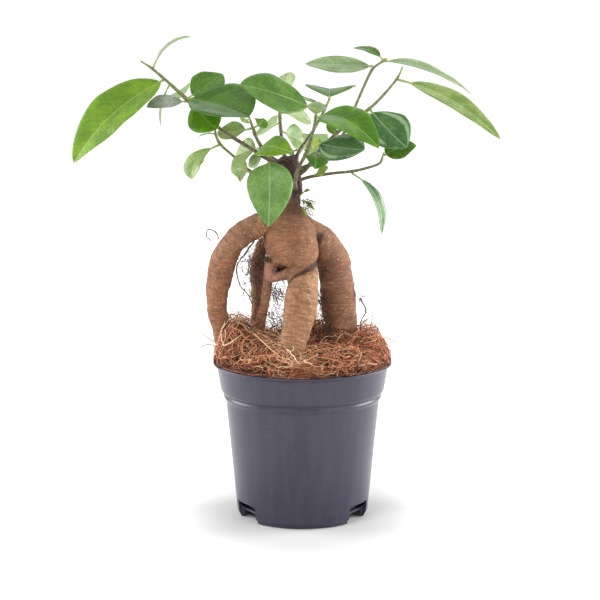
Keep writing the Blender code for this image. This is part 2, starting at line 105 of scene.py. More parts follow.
# The roots
ROOT_COUNT = 6                  # how many of the swollen routes are roots; the rest are bulb, neck and stump
ROOT_STEP = 2.0
ROOT_SIDES = 32
LEG_GAP = 200.0                 # the distance along its root that separates one root's bark from the next
CREASE = 0.24                   # how far a crease between two roots reaches, as a share of their radius
CREASE_TOP = 198.0
STUMP_FOOT = 203.0
STUMP_RISE = 14.0
ROOTLET_SEED = 5
ROOTLET_POINTS = 12
ROOTLET_SIDES = 4
SHOOT_SIDES = 14

# The leaves: facets along and across a blade, and how light scatters in it
BLADE_ROWS = 44
BLADE_COLUMNS = 18
LEAF_FLESH = {"Subsurface_Radius": (0.9, 1.6, 0.35), "Subsurface_Scale": 0.9 * MM}

# The stage, in metres: the lights have a place, a size and a share of the key light's power
FLOOR_SIZE = 60
FLOOR_GAP = 0.0004
SHADOW = (70, 210)              # where the floor's glow begins and where it is full, in millimetres; nearer the pot the floor is left dark as a painted shadow
SHADOW_SQUEEZE = 3.0            # how much sooner it begins to the sides, as a square
LIGHTS = {
    "key_light": ((-0.9, -1.5, 1.6), 1.2, 1.0),
    "fill_light": ((1.3, -1.1, 1.0), 1.2, 0.45),
    "back_light": ((0.3, 1.5, 1.5), 1.4, 0.3),
    "left_edge_light": ((-1.5, 0.35, 0.5), 1.0, 1.2),
    "right_edge_light": ((1.5, 0.35, 0.5), 1.0, 1.5),
}
CAMERA = (0, -1.6, 0.438)
AIM = (0, 0, 0.1465)
LENS = 145.8
SHIFT = -0.00417


class Mound(NamedTuple):
    """A heap of fibre: where its middle is, how wide it is and how far it rises."""
    x: float
    y: float
    spread: float
    rise: float


MOUNDS = (
    Mound(-50, -3, 14, 21),
    Mound(49, 6, 12, 15),
    Mound(8, 34, 20, 9),
    Mound(-24, -26, 14, 6),
    Mound(4, -6, 22, 4),
    Mound(24, -30, 12, 3),
)

# Routes of the swollen roots, bulb, neck and stump, as the part has them: x, y, z and radius at each bend
SWOLLEN = (
    # the left root
    ((-16, -5, 200, 8.6), (-27, -8, 199, 8.2), (-36, -8, 195, 8.0), (-44, -8, 189, 8.0),
     (-50, -8, 180, 8.4), (-54, -6, 167, 8.8), (-57, -4, 153, 7.6), (-57, -2, 141, 6.6), (-55, 0, 131, 6.4),
     (-52, 2, 119, 7.0), (-47, 3, 106, 6.0), (-44, 3, 90, 4.5)),
    # the centre leg
    ((0, -8, 184, 8.6), (1, -13, 173, 9.2), (0, -21, 161, 10.4), (-1, -28, 150, 11.0), (-3, -30, 139, 10.3),
     (-5, -33, 129, 9.3), (-7, -35, 120, 8.2), (-8, -36, 110, 7.0), (-9, -36, 90, 5.4)),
    # the right root
    ((-2, 0, 192, 10.0), (6, 3, 190, 10.2), (14, 6, 183, 10.6), (20, 8, 173, 11.0), (22.5, 10, 162, 11.4),
     (23.5, 10, 152, 11.7), (24.5, 10, 141, 11.4), (25.5, 10, 131, 11.0), (27, 10, 119, 10.4),
     (28, 10, 90, 8.0)),
    # the thin leg at the back left
    ((-14, 8, 195, 6.0), (-22, 14, 186, 4.6), (-28, 18, 177, 4.2), (-31, 20, 165, 4.5), (-30, 20, 143, 4.4),
     (-30, 20, 125, 4.6), (-30, 20, 90, 4.5)),
    # the thin root that hangs in the gap
    ((-18, -4, 184, 5.0), (-22, -8, 174, 3.4), (-23, -9, 163, 3.0), (-24, -9, 154, 3.0),
     (-25, -9, 145, 3.2), (-28, -8, 134, 3.3), (-29, -6, 124, 3.4), (-30, -4, 112, 3.6),
     (-30, -3, 90, 3.0)),
    # the root at the back
    ((-4, 8, 192, 12.0), (-3, 18, 185, 10.0), (0, 28, 173, 8.4), (2, 35, 160, 7.4), (2, 38, 140, 7.2),
     (2, 38, 120, 7.4), (2, 38, 90, 6.5)),
    # the bulb
    ((-7, -2, 211, 5.0), (-8, -3, 204, 11.0), (-8, -6, 197, 15.4), (-8, -9, 188, 17.4),
     (-6, -13, 178, 16.6), (-7, -16, 171, 12.0)),
    # its shoulders
    ((-16, 0, 197, 11.0), (-6, 4, 193, 14.0), (4, 2, 191, 11.0)),
    # the torn stub
    ((-21, -14, 174, 4.0), (-22, -15, 167, 3.4), (-22, -14, 161, 2.0)),
    # the small root that arches off it
    ((-21, -15, 163, 2.6), (-13, -17, 166, 3.6), (-4, -18, 170, 3.6)),
    # the neck and the stump
    ((-6, -2, 205, 8.0), (-6, -2, 211, 5.0), (-5, -1, 217, 3.9), (-4, 0, 223, 3.6), (-5, 0, 229, 4.4),
     (-8, 0, 234, 6.8), (-11, 0, 242, 8.2)),
    # the swollen edge of the cut
    ((-18, -1, 236, 4.4), (-11, 0, 237, 6.0), (-4, 1, 238, 4.0)),
)

# Routes of the shoots, from inside the stump or neck out to the bud
SHOOTS = {
    "branch_1": (
        (-14, -3, 238, 1.7), (-21, -7, 241, 1.4), (-35, -8, 250, 1.3), (-54, -6, 262, 1.2),
        (-76, -2, 281, 1.1), (-87, 0, 291, 1.0), (-99, 2, 301, 0.8), (-105, 2, 305, 0.5)),
    "branch_2": (
        (-7, -2, 228, 1.4), (-15, -10, 229, 1.2), (-25, -14, 231, 1.1), (-34, -16, 235, 1.0),
        (-45, -16, 245, 0.9), (-54, -14, 253, 0.9), (-57, -13, 260, 0.7), (-57, -12, 266, 0.5)),
    "branch_3": (
        (-4, 1, 226, 1.3), (4, 2, 229, 1.1), (19, -2, 232, 1.0), (33, -6, 234, 0.9), (44, -9, 237, 0.9),
        (51, -10, 240, 0.8), (53, -10, 245, 0.5)),
    "branch_4": (
        (-4, -1, 221, 1.6), (-5, -8, 226, 1.4), (-3, -12, 236, 1.2), (2, -13, 246, 1.2), (5, -14, 255, 1.1),
        (8, -13, 266, 0.9), (9, -12, 275, 0.6)),
    "branch_5": (
        (-6, 3, 232, 1.6), (1, 7, 235, 1.4), (15, 8, 240, 1.2), (23, 8, 249, 1.2), (29, 8, 261, 1.0),
        (36, 8, 278, 0.9), (43, 8, 294, 0.9), (47, 8, 301, 0.8), (54, 8, 306, 0.6)),
    "branch_6": (
        (-5, -1, 230, 1.7), (2, -4, 235, 1.4), (11, -4, 247, 1.3), (25, -3, 261, 1.2), (44, -2, 275, 1.0),
        (54, -3, 285, 0.9), (62, -4, 295, 0.7), (65, -4, 301, 0.5)),
    "branch_7": (
        (-11, 3, 240, 1.6), (-13, 10, 247, 1.3), (-15, 18, 264, 1.1), (-15, 21, 275, 0.9),
        (-14, 23, 284, 0.5)),
    "branch_8": (
        (-16, 2, 239, 1.6), (-24, 8, 244, 1.3), (-30, 10, 253, 1.1), (-33, 10, 261, 0.9),
        (-35, 10, 267, 0.5)),
    "branch_9": (
        (-6, 4, 237, 1.6), (-2, 14, 245, 1.3), (6, 28, 255, 1.1), (14, 40, 268, 0.9), (18, 46, 276, 0.5)),
}

# A bud at a shoot's end: how far each ring lies past the end, and its breadth as a share of the shoot's
BUD = ((0.4, 1.15), (0.9, 1.2), (1.4, 0.95), (2.0, 0.55), (2.6, 0.12))

# Routes of the longest hair roots
AERIAL = {
    "aerial_root_left": (
        (-32, 4, 186, 0.9), (-38, 3, 178, 0.8), (-43, 2, 169, 0.8), (-41, 1, 159, 0.7), (-35, 0, 151, 0.6),
        (-33, 0, 144, 0.5)),
    "aerial_root_right": (
        (38.4, 4, 147, 0.9), (43, 3, 138, 0.8), (40, 2, 131, 0.7), (39.6, 1, 125, 0.6)),
    "aerial_root_curl": (
        (-55.5, -9, 189, 0.6), (-58, -9, 194, 0.6), (-63, -9, 196, 0.5), (-64, -9, 191, 0.5),
        (-61, -9, 188, 0.4)),
}

# Tufts of hair roots: the middle, its spread, how many, their length, the way they grow and their thickness
TUFTS = (
    (-28, -6, 190, 4.0, 60, 22, (-0.3, -0.1, -1.0), 0.34),
    (-34, -6, 176, 3.5, 60, 20, (0.2, 0.0, -1.0), 0.32),
    (-31, -4, 160, 4.5, 60, 22, (0.0, -0.1, -1.0), 0.32),
    (-24, -4, 172, 3.5, 60, 18, (-0.2, -0.2, -1.0), 0.34),
    (-19, 2, 152, 3.5, 90, 20, (0.1, 0.0, -1.0), 0.34),
    (-16, 2, 134, 4.0, 90, 18, (0.1, 0.0, -1.0), 0.36),
    (-14, 4, 172, 4.0, 420, 14, (0.1, 0.0, -0.5), 0.55),
    (-12, -8, 172, 3.0, 50, 10, (0.3, -0.3, -0.6), 0.34),
    (-30, -10, 138, 4.0, 40, 18, (0.5, 0.0, -0.8), 0.32),
    (-46, -6, 130, 4.0, 24, 22, (0.9, -0.2, -0.1), 0.34),
    (13, 2, 168, 3.0, 80, 18, (0.1, 0.0, -1.0), 0.40),
    (14, 4, 150, 3.5, 90, 20, (0.1, 0.0, -1.0), 0.38),
    (14, 2, 132, 4.0, 80, 18, (0.1, 0.0, -1.0), 0.38),
    (1, -4, 214, 2.0, 26, 14, (0.7, -0.3, -0.4), 0.34),
    (2, -4, 208, 2.0, 22, 12, (0.9, -0.2, -0.1), 0.34),
    (36, 4, 150, 2.5, 14, 18, (0.6, -0.1, -0.8), 0.30),
    (-56, -6, 190, 2.0, 8, 12, (-0.8, 0.0, 0.5), 0.30),
)

# The pink bruise where a thin root was torn off, and the middle of the freshest, most orange fibre
BRUISE = (-22, -16, 167)
ORANGE_CLUMP = (-8, -46)

# Long strands that lie clear of the rest: a tone, and the bends with the radius at each
STRAYS = (
    (0.92, ((-32, -28, 129, 0.25), (-19, -42, 120, 0.38), (-5, -56, 111.5, 0.3))),
    (0.80, ((-26, -40, 117, 0.3), (-14, -48, 117, 0.4), (0, -50, 113, 0.3))),
    (0.70, ((-48, -18, 118, 0.4), (-62, -20, 124, 0.35), (-75, -20, 136, 0.2))),
    (0.55, ((-50, -16, 114, 0.4), (-62, -19, 120, 0.35), (-70, -22, 117, 0.2))),
    (0.60, ((44, 0, 114, 0.4), (56, 4, 120, 0.35), (66, 7, 113, 0.2))),
    (0.85, ((46, -8, 112, 0.35), (57, -4, 116, 0.3), (68, 4, 109, 0.2))),
    (0.50, ((40, -6, 116, 0.4), (46, 2, 129, 0.3), (47, 5, 138, 0.2))),
)


class Leaf(NamedTuple):
    """One leaf: its finish, the shoot it grows from and where, its tip, its breadth and its stalk's length.

    bow is how far the middle of the midrib lies off the straight line from seat to tip, faces is the way
    the upper side looks, fold is the rise of the edges over the half breadth, and fullest is the share of
    the blade at which it is widest.
    """
    finish: str
    shoot: str
    seat: tuple
    tip: tuple
    width: float
    petiole: float
    bow: tuple
    faces: tuple
    fold: float = 0.25
    fullest: float = 0.5


LEAVES = {
    # left shoot
    "leaf_left_wisp": Leaf("silver", "branch_1", (-98, 2, 302), (-74, 16, 321), 13, 5, (-3, 0, 4),
        (-6, 0, 7)),
    "leaf_left_large": Leaf("bright", "branch_1", (-95, 1, 294), (-149, -26, 242), 40, 1.5, (-4, -2, 4),
        (-5, -6, 6), 0.3, 0.44),
    "leaf_left_grey": Leaf("silver", "branch_1", (-79, -2, 284), (-82, 22, 279), 22, 2, (0, 0, 1),
        (-4, -1, 7)),
    "leaf_left_point": Leaf("silver", "branch_1", (-78, -3, 281), (-102, -12, 277), 15, 2, (0, 0, 1),
        (0, -5, 8), 0.3),
    "leaf_left_small": Leaf("deep", "branch_1", (-86, 1, 289), (-94, 8, 263), 7, 3, (-2, 0, 1), (-9, 0, 2)),
    "leaf_left_dark": Leaf("deep", "branch_1", (-75, -3, 281), (-35, -38, 273), 46, 2, (2, 0, 1),
        (0, -4, 9), 0.36, 0.52),
    "leaf_left_high": Leaf("deep", "branch_1", (-74, -2, 281), (-53, 16, 296), 24, 3, (0, 0, 0),
        (-3, -7, 5)),
    "leaf_left_under": Leaf("fresh", "branch_1", (-72, -4, 278), (-56, -16, 263), 25, 1, (0, 0, -1),
        (2, -8, 4), 0.1),
    # low left shoot
    "leaf_low_left_droop": Leaf("olive", "branch_2", (-55, -12, 254), (-72, -22, 231), 20, 3, (-5, 0, 2),
        (-7, -5, 4), 0.25, 0.6),
    "leaf_low_left_thin": Leaf("lime", "branch_2", (-57, -11, 258), (-68, -6, 257), 5, 2, (0, 0, 1),
        (0, 0, 8)),
    "leaf_front": Leaf("soft", "branch_2", (-25, -14, 231), (-22, -44, 203), 30, 15.5, (2, 1, 24),
        (0, -9, 2), 0.1, 0.55),
    "leaf_front_folded": Leaf("olive", "branch_2", (-34, -16, 235), (-46, -30, 236), 18, 2, (-1, -1, 3),
        (8, -6, 1), 0.2),
    # back left shoot
    "leaf_mid_left_pale": Leaf("olive", "branch_8", (-32, 10, 258), (-57, 22, 257), 18, 4, (0, 0, -1),
        (0, -6, 7)),
    "leaf_mid_left_shoot": Leaf("lime", "branch_8", (-34, 10, 265), (-40, 2, 266), 8, 2, (0, 0, 0),
        (0, -7, 6)),
    "leaf_mid_left_grey": Leaf("olive", "branch_8", (-28, 9, 248), (-45, 26, 240), 20, 4, (0, 0, 1),
        (-2, -7, 6)),
    "leaf_mid_left_little": Leaf("grey", "branch_8", (-23, 7, 243), (-36, 16, 234), 10, 3, (0, 0, 1),
        (-2, -7, 5)),
    "leaf_mid_left_upright": Leaf("bright", "branch_8", (-32, 10, 258), (-26, 4, 268), 10, 2, (1, 0, 0),
        (2, -8, 3)),
    "leaf_middle": Leaf("bright", "branch_1", (-28, -8, 246), (-7, -36, 250), 21, 3, (-4, 0, 4),
        (-1, -7, 8), 0.1),
    # back shoot
    "leaf_back_round": Leaf("pale", "branch_7", (-15, 19, 266), (-28, 42, 258), 20, 4, (0, 0, -1),
        (-1, -7, 6)),
    "leaf_back_striped": Leaf("pale", "branch_7", (-15, 20, 268), (6, 46, 261), 16, 4, (0, 0, 2),
        (1, -7, 6)),
    "leaf_back_low": Leaf("pale", "branch_7", (-14, 16, 261), (2, 38, 247), 20, 4, (0, 0, 0), (1, -8, 5)),
    "leaf_back_high": Leaf("pale", "branch_7", (-15, 22, 279), (-9, 44, 295), 14, 4, (0, 0, 1),
        (-2, -2, 8)),
    "leaf_behind_middle": Leaf("pale", "branch_9", (-1, 16, 247), (-10, 12, 244), 9, 2, (0, 0, 0),
        (0, -8, 5)),
    # middle shoot
    "leaf_top_large": Leaf("deep", "branch_4", (9, -12, 274), (-40, -38, 294), 31, 5, (0, 0, 2),
        (-1, -7, 7), 0.12),
    "leaf_node_grey": Leaf("grey", "branch_4", (8, -13, 271), (10, 4, 279), 12, 3, (0, 0, 0), (0, -8, 5)),
    "leaf_node_bract": Leaf("lime", "branch_4", (4, -14, 252), (12, -22, 254), 9, 2, (0, 0, 1), (1, -8, 5)),
    "leaf_right_blue": Leaf("blue", "branch_4", (5, -14, 255), (40, -38, 252), 30, 6, (0, 0, -1),
        (1, -6, 7), 0.1),
    "leaf_right_bright": Leaf("fresh", "branch_4", (8, -13, 269), (49, -46, 254), 29, 4, (-1, -1, 8),
        (1, -5, 8), 0.25, 0.44),
    "leaf_low_middle_dark": Leaf("deep", "branch_4", (2, -13, 246), (8, -33, 239), 18, 3, (3, 0, 4),
        (3, -7, 4), 0.1),
    # low right shoot
    "leaf_low_right_shoot": Leaf("lime", "branch_3", (10, 0, 230), (17, -12, 237), 8, 2, (0, 0, 0),
        (0, -7, 5)),
    "leaf_low_right_hang": Leaf("blue", "branch_3", (33, -6, 234), (52, -14, 193), 11, 6, (6, 0, 4),
        (7, -5, 2)),
    "leaf_low_right_end": Leaf("deep", "branch_3", (52, -10, 243), (75, -6, 251), 17, 0.5, (-1, 0, 1),
        (2, -6, 6), 0.25, 0.42),
    # tall right shoot
    "leaf_right_inner": Leaf("bright", "branch_5", (26, 8, 255), (16, 14, 263), 6, 2, (0, 0, 0),
        (-2, -6, 6)),
    "leaf_top_pale": Leaf("grey", "branch_5", (46, 8, 299), (2, 4, 304), 20, 1.5, (0, 0, 0), (0, -5, 9),
        0.15, 0.48),
    "leaf_top_small": Leaf("deep", "branch_5", (53, 8, 305), (34, 22, 313), 8, 3, (2, 0, 2), (-2, -2, 8)),
    "leaf_top_right": Leaf("grey", "branch_5", (54, 8, 306), (112, 18, 283), 14, 2, (1, 0, 5), (3, -3, 9),
        0.25, 0.42),
    # outer right shoot
    "leaf_far_right": Leaf("olive", "branch_6", (62, -4, 295), (129, -22, 257), 20, 8, (2, 1, 5),
        (4, -5, 7), 0.25, 0.45),
    "leaf_right_dark": Leaf("blue", "branch_6", (44, -2, 274), (68, -18, 251), 33, 1.5, (-1, 0, 0),
        (4, -8, 4), 0.2, 0.52),
    # back right shoot
    "leaf_right_pair": Leaf("deep", "branch_9", (18, 46, 275), (20, 84, 277), 35, 3, (0, 0, 5), (0, -4, 9),
        0.25),
    "leaf_rear_left": Leaf("deep", "branch_9", (15, 42, 270), (-30, 68, 274), 28, 6, (0, 0, 4), (-2, 3, 8)),
    "leaf_rear_right": Leaf("deep", "branch_9", (12, 37, 265), (50, 58, 258), 28, 6, (0, 0, 4), (2, 3, 8)),
    "leaf_rear_low": Leaf("deep", "branch_9", (6, 28, 255), (6, 66, 236), 24, 6, (0, 0, 5), (0, 4, 7)),
}

# Small leaves on the neck, which are too little to be parts of their own
NECK_LEAVES = {
    "neck_dark": Leaf("deep", "", (0, -3, 214), (8, -7, 208), 2.6, 1, (0, 0, 1), (0, -5, 8)),
    "neck_bright": Leaf("bright", "", (0, -3, 219), (5, -6, 221), 2.4, 1, (0, 0, 1), (0, -8, 5)),
    "neck_low": Leaf("lime", "", (-1, -4, 210), (3, -8, 204), 2.2, 1, (0, 0, 1), (2, -8, 4)),
}


# ---------------------------------------------------------------- shader values and nodes

class Wire:
    """A value in a shader. Arithmetic on it adds Math nodes."""

    def __init__(self, finish, socket):
        self.finish = finish
        self.socket = socket

    def maths(self, operation, *values):
        return self.finish.node("Math", {"operation": operation}, dict(enumerate(values)))

    def __add__(self, other):
        return self.maths("ADD", self, other)

    def __sub__(self, other):
        return self.maths("SUBTRACT", self, other)

    def __rsub__(self, other):
        return self.maths("SUBTRACT", other, self)

    def __mul__(self, other):
        return self.maths("MULTIPLY", self, other)

    def __truediv__(self, other):
        return self.maths("DIVIDE", self, other)

    def __abs__(self):
        return self.maths("ABSOLUTE", self)

    __radd__ = __add__
    __rmul__ = __mul__

    def root(self):
        """The square root."""
        return self.maths("SQRT", self)

    def part(self):
        """The fraction after the decimal point."""
        return self.maths("FRACT", self)

    def between(self, low, high):
        """0 below low, 1 above high, and a soft step between them. It falls where low is above high."""
        settings = {"interpolation_type": "SMOOTHSTEP"}
        if low <= high:
            return self.finish.node("MapRange", settings, {0: self, 1: low, 2: high})
        return 1 - self.finish.node("MapRange", settings, {0: self, 1: high, 2: low})


class Finish:
    """A material under construction round its Principled shader."""

    def __init__(self, name):
        self.material = bpy.data.materials.new(name)
        self.material.use_nodes = True
        self.tree = self.material.node_tree
        self.shader = self.tree.nodes["Principled BSDF"]

    def node(self, kind, settings=None, sockets=None, output=0):
        """A new node: its type, then its settings, then the values or links of its sockets."""
        made = self.tree.nodes.new("ShaderNode" + kind)
        for key, value in (settings or {}).items():
            if key == "stops":
                self.stop(made.color_ramp, value)
            else:
                setattr(made, key, value)
        for key, value in (sockets or {}).items():
            self.feed(made.inputs[key], value)
        return Wire(self, made.outputs[output])

    def stop(self, ramp, stops):
        """Give a colour ramp its stops."""
        while len(ramp.elements) < len(stops):
            ramp.elements.new(1.0)
        for element, (place, colour) in zip(ramp.elements, stops):
            element.position = place
            element.color = (*colour, 1.0)

    def feed(self, socket, value):
        """Link a socket to a value in the shader, or set it to a constant."""
        if isinstance(value, Wire):
            self.tree.links.new(value.socket, socket)
        elif socket.type == "RGBA" and len(value) == 3:
            socket.default_value = (*value, 1.0)
        else:
            socket.default_value = value

    def place(self):
        """The place in the row frame, in millimetres."""
        spot = self.node("TexCoord", output=3)
        return self.node("VectorMath", {"operation": "SCALE"}, {0: spot, "Scale": 1 / MM})

    def own(self, name):
        """A vector that the mesh carries at each vertex."""
        return self.node("Attribute", {"attribute_name": name}, output=1)

    def parts(self, vector):
        """The three numbers of a vector."""
        split = self.node("SeparateXYZ", sockets={0: vector})
        return [Wire(self, output) for output in split.socket.node.outputs]

    def sized(self, vector, size):
        """A vector divided by a size along each axis, so that a pattern has features of that size."""
        return self.node("VectorMath", {"operation": "MULTIPLY"}, {0: vector, 1: [1 / s for s in size]})

    def grain(self, vector, size, detail=3.0, rough=0.55, warp=0.0):
        """Fractal noise from 0 to 1 with features of a size, in millimetres."""
        sockets = {"Vector": self.sized(vector, size), "Scale": 1.0, "Detail": detail, "Roughness": rough,
                   "Distortion": warp}
        return self.node("TexNoise", sockets=sockets)

    def cells(self, vector, size, feature="F1"):
        """Distance to the nearest of scattered points."""
        sockets = {"Vector": self.sized(vector, size), "Scale": 1.0}
        return self.node("TexVoronoi", {"feature": feature}, sockets)

    def mix(self, share, first, second):
        """A colour between two."""
        return self.node("Mix", {"data_type": "RGBA"}, {0: share, 6: first, 7: second}, output=2)

    def coats(self, colour, *coats):
        """A colour under thin coats, each with its share and its own colour."""
        for share, coat in coats:
            colour = self.mix(share, colour, coat)
        return colour

    def ramp(self, value, *stops):
        """The colour at a value on a scale of stops, each with its place and colour."""
        return self.node("ValToRGB", {"stops": stops}, {0: value})

    def relief(self, height, depth, strength=1.0):
        """A normal bent by a height from 0 to 1 that stands for a depth in millimetres."""
        return self.node("Bump", sockets={"Strength": strength, "Distance": depth * MM, "Height": height})

    def done(self, **sockets):
        """Fill the shader's sockets, named with spaces as underscores, and give the material."""
        for key, value in sockets.items():
            self.feed(self.shader.inputs[key.replace("_", " ")], value)
        return self.material


def shade(colour, share):
    """A colour darkened or lightened by a share."""
    return tuple(share * part for part in colour)


# ---------------------------------------------------------------- meshes

def smooth_route(bends, spacing):
    """Points about one spacing apart on the smooth curve through the bends, each with its radius."""
    knots = [np.array(bend, dtype=float) for bend in bends]
    knots = [2 * knots[0] - knots[1], *knots, 2 * knots[-1] - knots[-2]]
    route = []
    for before, start, end, after in zip(knots, knots[1:], knots[2:], knots[3:]):
        count = max(1, round(float(np.linalg.norm((end - start)[:3])) / spacing))
        for step in range(count):
            t = step / count
            route.append(0.5 * (2 * start + (end - before) * t
                                + (2 * before - 5 * start + 4 * end - after) * t**2
                                + (3 * start - before - 3 * end + after) * t**3))
    return np.array([*route, knots[-2]])


def unit(vectors):
    """Vectors scaled to length one."""
    return vectors / np.maximum(np.linalg.norm(vectors, axis=-1, keepdims=True), 1e-9)


def frames(paths):
    """The direction along each path and two square to it, at every point."""
    along = unit(np.gradient(paths, axis=1))
    reference = np.zeros((len(paths), 1, 3))
    least = np.abs(paths[:, -1] - paths[:, 0]).argmin(axis=1)
    reference[np.arange(len(paths)), 0, least] = 1.0
    side = unit(np.cross(along, reference))
    return along, side, np.cross(side, along)


def tubes(paths, radii, sides):
    """Vertices and faces of closed tubes round paths that all have the same number of points."""
    paths = np.asarray(paths, dtype=float)
    count, points = paths.shape[:2]
    _, side, up = frames(paths)
    turn = np.arange(sides) * math.tau / sides
    spoke = np.cos(turn)[:, None] * side[:, :, None] + np.sin(turn)[:, None] * up[:, :, None]
    rings = paths[:, :, None] + np.asarray(radii)[:, :, None, None] * spoke
    index = np.arange(count * points * sides).reshape(count, points, sides)
    after = np.roll(index, -1, axis=2)
    quads = np.stack([index[:, :-1], after[:, :-1], after[:, 1:], index[:, 1:]], axis=-1).reshape(-1, 4)
    caps = [ring[::-1] for ring in index[:, 0].tolist()] + index[:, -1].tolist()
    return rings.reshape(-1, 3), quads.tolist() + caps


def rod(route, sides, radius=None):
    """A tube along one route, as thick as the route says or as the radius given at each point."""
    return tubes(route[None, :, :3], (route[:, 3] if radius is None else radius)[None], sides)


def capped(rings, ends):
    """Vertices and faces of a solid from closed rings of points, with a fan to an end point at each end."""
    index = np.arange(rings.shape[0] * rings.shape[1]).reshape(rings.shape[:2])
    after = np.roll(index, -1, axis=1)
    quads = np.stack([index[:-1], index[1:], after[1:], after[:-1]], axis=-1).reshape(-1, 4)
    fans = [[index.size, a, b] for a, b in zip(index[0].tolist(), after[0].tolist())]
    fans += [[index.size + 1, b, a] for a, b in zip(index[-1].tolist(), after[-1].tolist())]
    return np.concatenate([rings.reshape(-1, 3), ends]), quads.tolist() + fans


def gathered(shells):
    """Several shells of vertices and faces as one."""
    vertices, faces, offset = [], [], 0
    for points, polygons in shells:
        vertices.append(points)
        faces.extend([[corner + offset for corner in polygon] for polygon in polygons])
        offset += len(points)
    return np.concatenate(vertices), faces


def mesh_of(name, vertices, faces, carried=None):
    """A smooth mesh from millimetres, with the vectors that its vertices carry."""
    mesh = bpy.data.meshes.new(name)
    mesh.from_pydata((np.asarray(vertices) * MM).tolist(), [], faces)
    for key, values in (carried or {}).items():
        carry(mesh, key, values)
    mesh.shade_smooth()
    return mesh


def carry(mesh, name, vectors):
    """Give a mesh's vertices a vector each."""
    attribute = mesh.attributes.new(name, "FLOAT_VECTOR", "POINT")
    attribute.data.foreach_set("vector", np.asarray(vectors, dtype=np.float32).ravel())


def show(name, mesh, materials, stands_for=()):
    """Link a finished piece to the root body."""
    piece = bpy.data.objects.new(name, mesh)
    bpy.context.scene.collection.objects.link(piece)
    for finish in materials:
        mesh.materials.append(finish)
    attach(piece, BODY)
    if stands_for:
        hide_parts(*stands_for)
    return piece


def worked(name, mesh, modifiers):
    """A mesh after modifiers, given as a type and its settings each."""
    draft = bpy.data.objects.new(name + "_draft", mesh)
    bpy.context.scene.collection.objects.link(draft)
    for kind, settings in modifiers:
        modifier = draft.modifiers.new(kind.lower(), kind)
        for key, value in settings.items():
            setattr(modifier, key, value)
    graph = bpy.context.evaluated_depsgraph_get()
    result = bpy.data.meshes.new_from_object(draft.evaluated_get(graph))
    bpy.data.objects.remove(draft)
    result.name = name
    return result


def numbers(collection, key):
    """A vector property of a mesh collection as an array."""
    values = np.empty(len(collection) * 3, dtype=np.float32)
    collection.foreach_get(key, values)
    return values.reshape(-1, 3).astype(float)


def wobble(points, size, seed=0.0):
    """Smooth noise from about -1 to 1 at each point, with features of a size."""
    scaled = np.asarray(points) / size + seed
    return np.array([noise.noise(Vector(point)) for point in scaled])


def rounded(profile, radius, steps=4):
    """A profile whose corners are rounded, keeping its two ends."""
    points = [np.array(point, dtype=float) for point in profile]
    result = [points[0]]
    for before, corner, after in zip(points, points[1:], points[2:]):
        back, on = before - corner, after - corner
        reach = min(radius, 0.45 * np.linalg.norm(back), 0.45 * np.linalg.norm(on))
        start, end = corner + unit(back) * reach, corner + unit(on) * reach
        for step in range(steps + 1):
            t = step / steps
            result.append(start * (1 - t) ** 2 + corner * 2 * t * (1 - t) + end * t**2)
    return [*result, points[-1]]


def lathed(profile, facets):
    """Vertices and faces of a profile of radius and height turned about Z, whose ends lie on the axis."""
    radius, height = np.array(profile[1:-1]).T[:, :, None]
    turn = np.arange(facets) * math.tau / facets
    rings = np.stack([radius * np.cos(turn), radius * np.sin(turn), height + 0 * turn], axis=-1)
    return capped(rings, [(0, 0, profile[0][1]), (0, 0, profile[-1][1])])


# ---------------------------------------------------------------- what the user can change

class FigPot(bpy.types.PropertyGroup):
    colour: FloatVectorProperty(name="Plastic", description="Colour of the pot", subtype="COLOR", size=3,
                                min=0, max=1, default=(0.038, 0.035, 0.055))
    gloss: FloatProperty(name="Roughness", description="How matt the plastic is", min=0, max=1, default=0.30)
    edge: FloatProperty(name="Edge rounding", description="Radius of the moulded edges", unit="LENGTH",
                        min=0, default=0.9 * MM)


class FigFibre(bpy.types.PropertyGroup):
    strands: IntProperty(name="Strands", description="How many loose fibres lie on the topping", min=0,
                         default=8000)
    length: FloatProperty(name="Strand length", description="Longest strand", unit="LENGTH", min=0,
                          default=34 * MM)
    thickness: FloatProperty(name="Strand thickness", description="Thickest strand", unit="LENGTH", min=0,
                             default=0.95 * MM)
    colour: FloatVectorProperty(name="Fibre", description="Middle colour of the fibre", subtype="COLOR",
                                size=3, min=0, max=1, default=(0.40, 0.125, 0.055))


class FigRoots(bpy.types.PropertyGroup):
    colour: FloatVectorProperty(name="Bark", description="Middle colour of the bark", subtype="COLOR",
                                size=3, min=0, max=1, default=(0.275, 0.125, 0.066))
    relief: FloatProperty(name="Relief", description="Depth of the folds and lumps in the bark",
                          unit="LENGTH", min=0, default=1.0 * MM)
    fineness: FloatProperty(name="Fineness", description="Size of the facets of the bark's skin",
                            unit="LENGTH", min=0.3 * MM, default=0.75 * MM)


class FigLeaves(bpy.types.PropertyGroup):
    thickness: FloatProperty(name="Blade thickness", description="Thickness of a blade", unit="LENGTH",
                             min=0, default=0.45 * MM)
    gloss: FloatProperty(name="Roughness", description="How matt the upper side is", min=0, max=1,
                         default=0.34)
    veins: FloatProperty(name="Vein spacing", description="Distance between side veins", unit="LENGTH",
                         min=0.1 * MM, default=5.2 * MM)


class FigStage(bpy.types.PropertyGroup):
    sky: FloatProperty(name="Sky", description="Brightness of the even light from all sides", min=0,
                       default=0.60)
    key: FloatProperty(name="Key light", description="Power of the main soft light", unit="POWER", min=0,
                       default=22.0)
    floor: FloatVectorProperty(name="Floor", description="Colour of the floor", subtype="COLOR", size=3,
                               min=0, max=1, default=(0.62, 0.62, 0.62))
    # the glow is held back near the pot, which paints a shadow round it
    glow: FloatProperty(name="Floor glow", description="Light that the floor gives off away from the pot",
                        min=0, default=0.64)


# ---------------------------------------------------------------- finishes

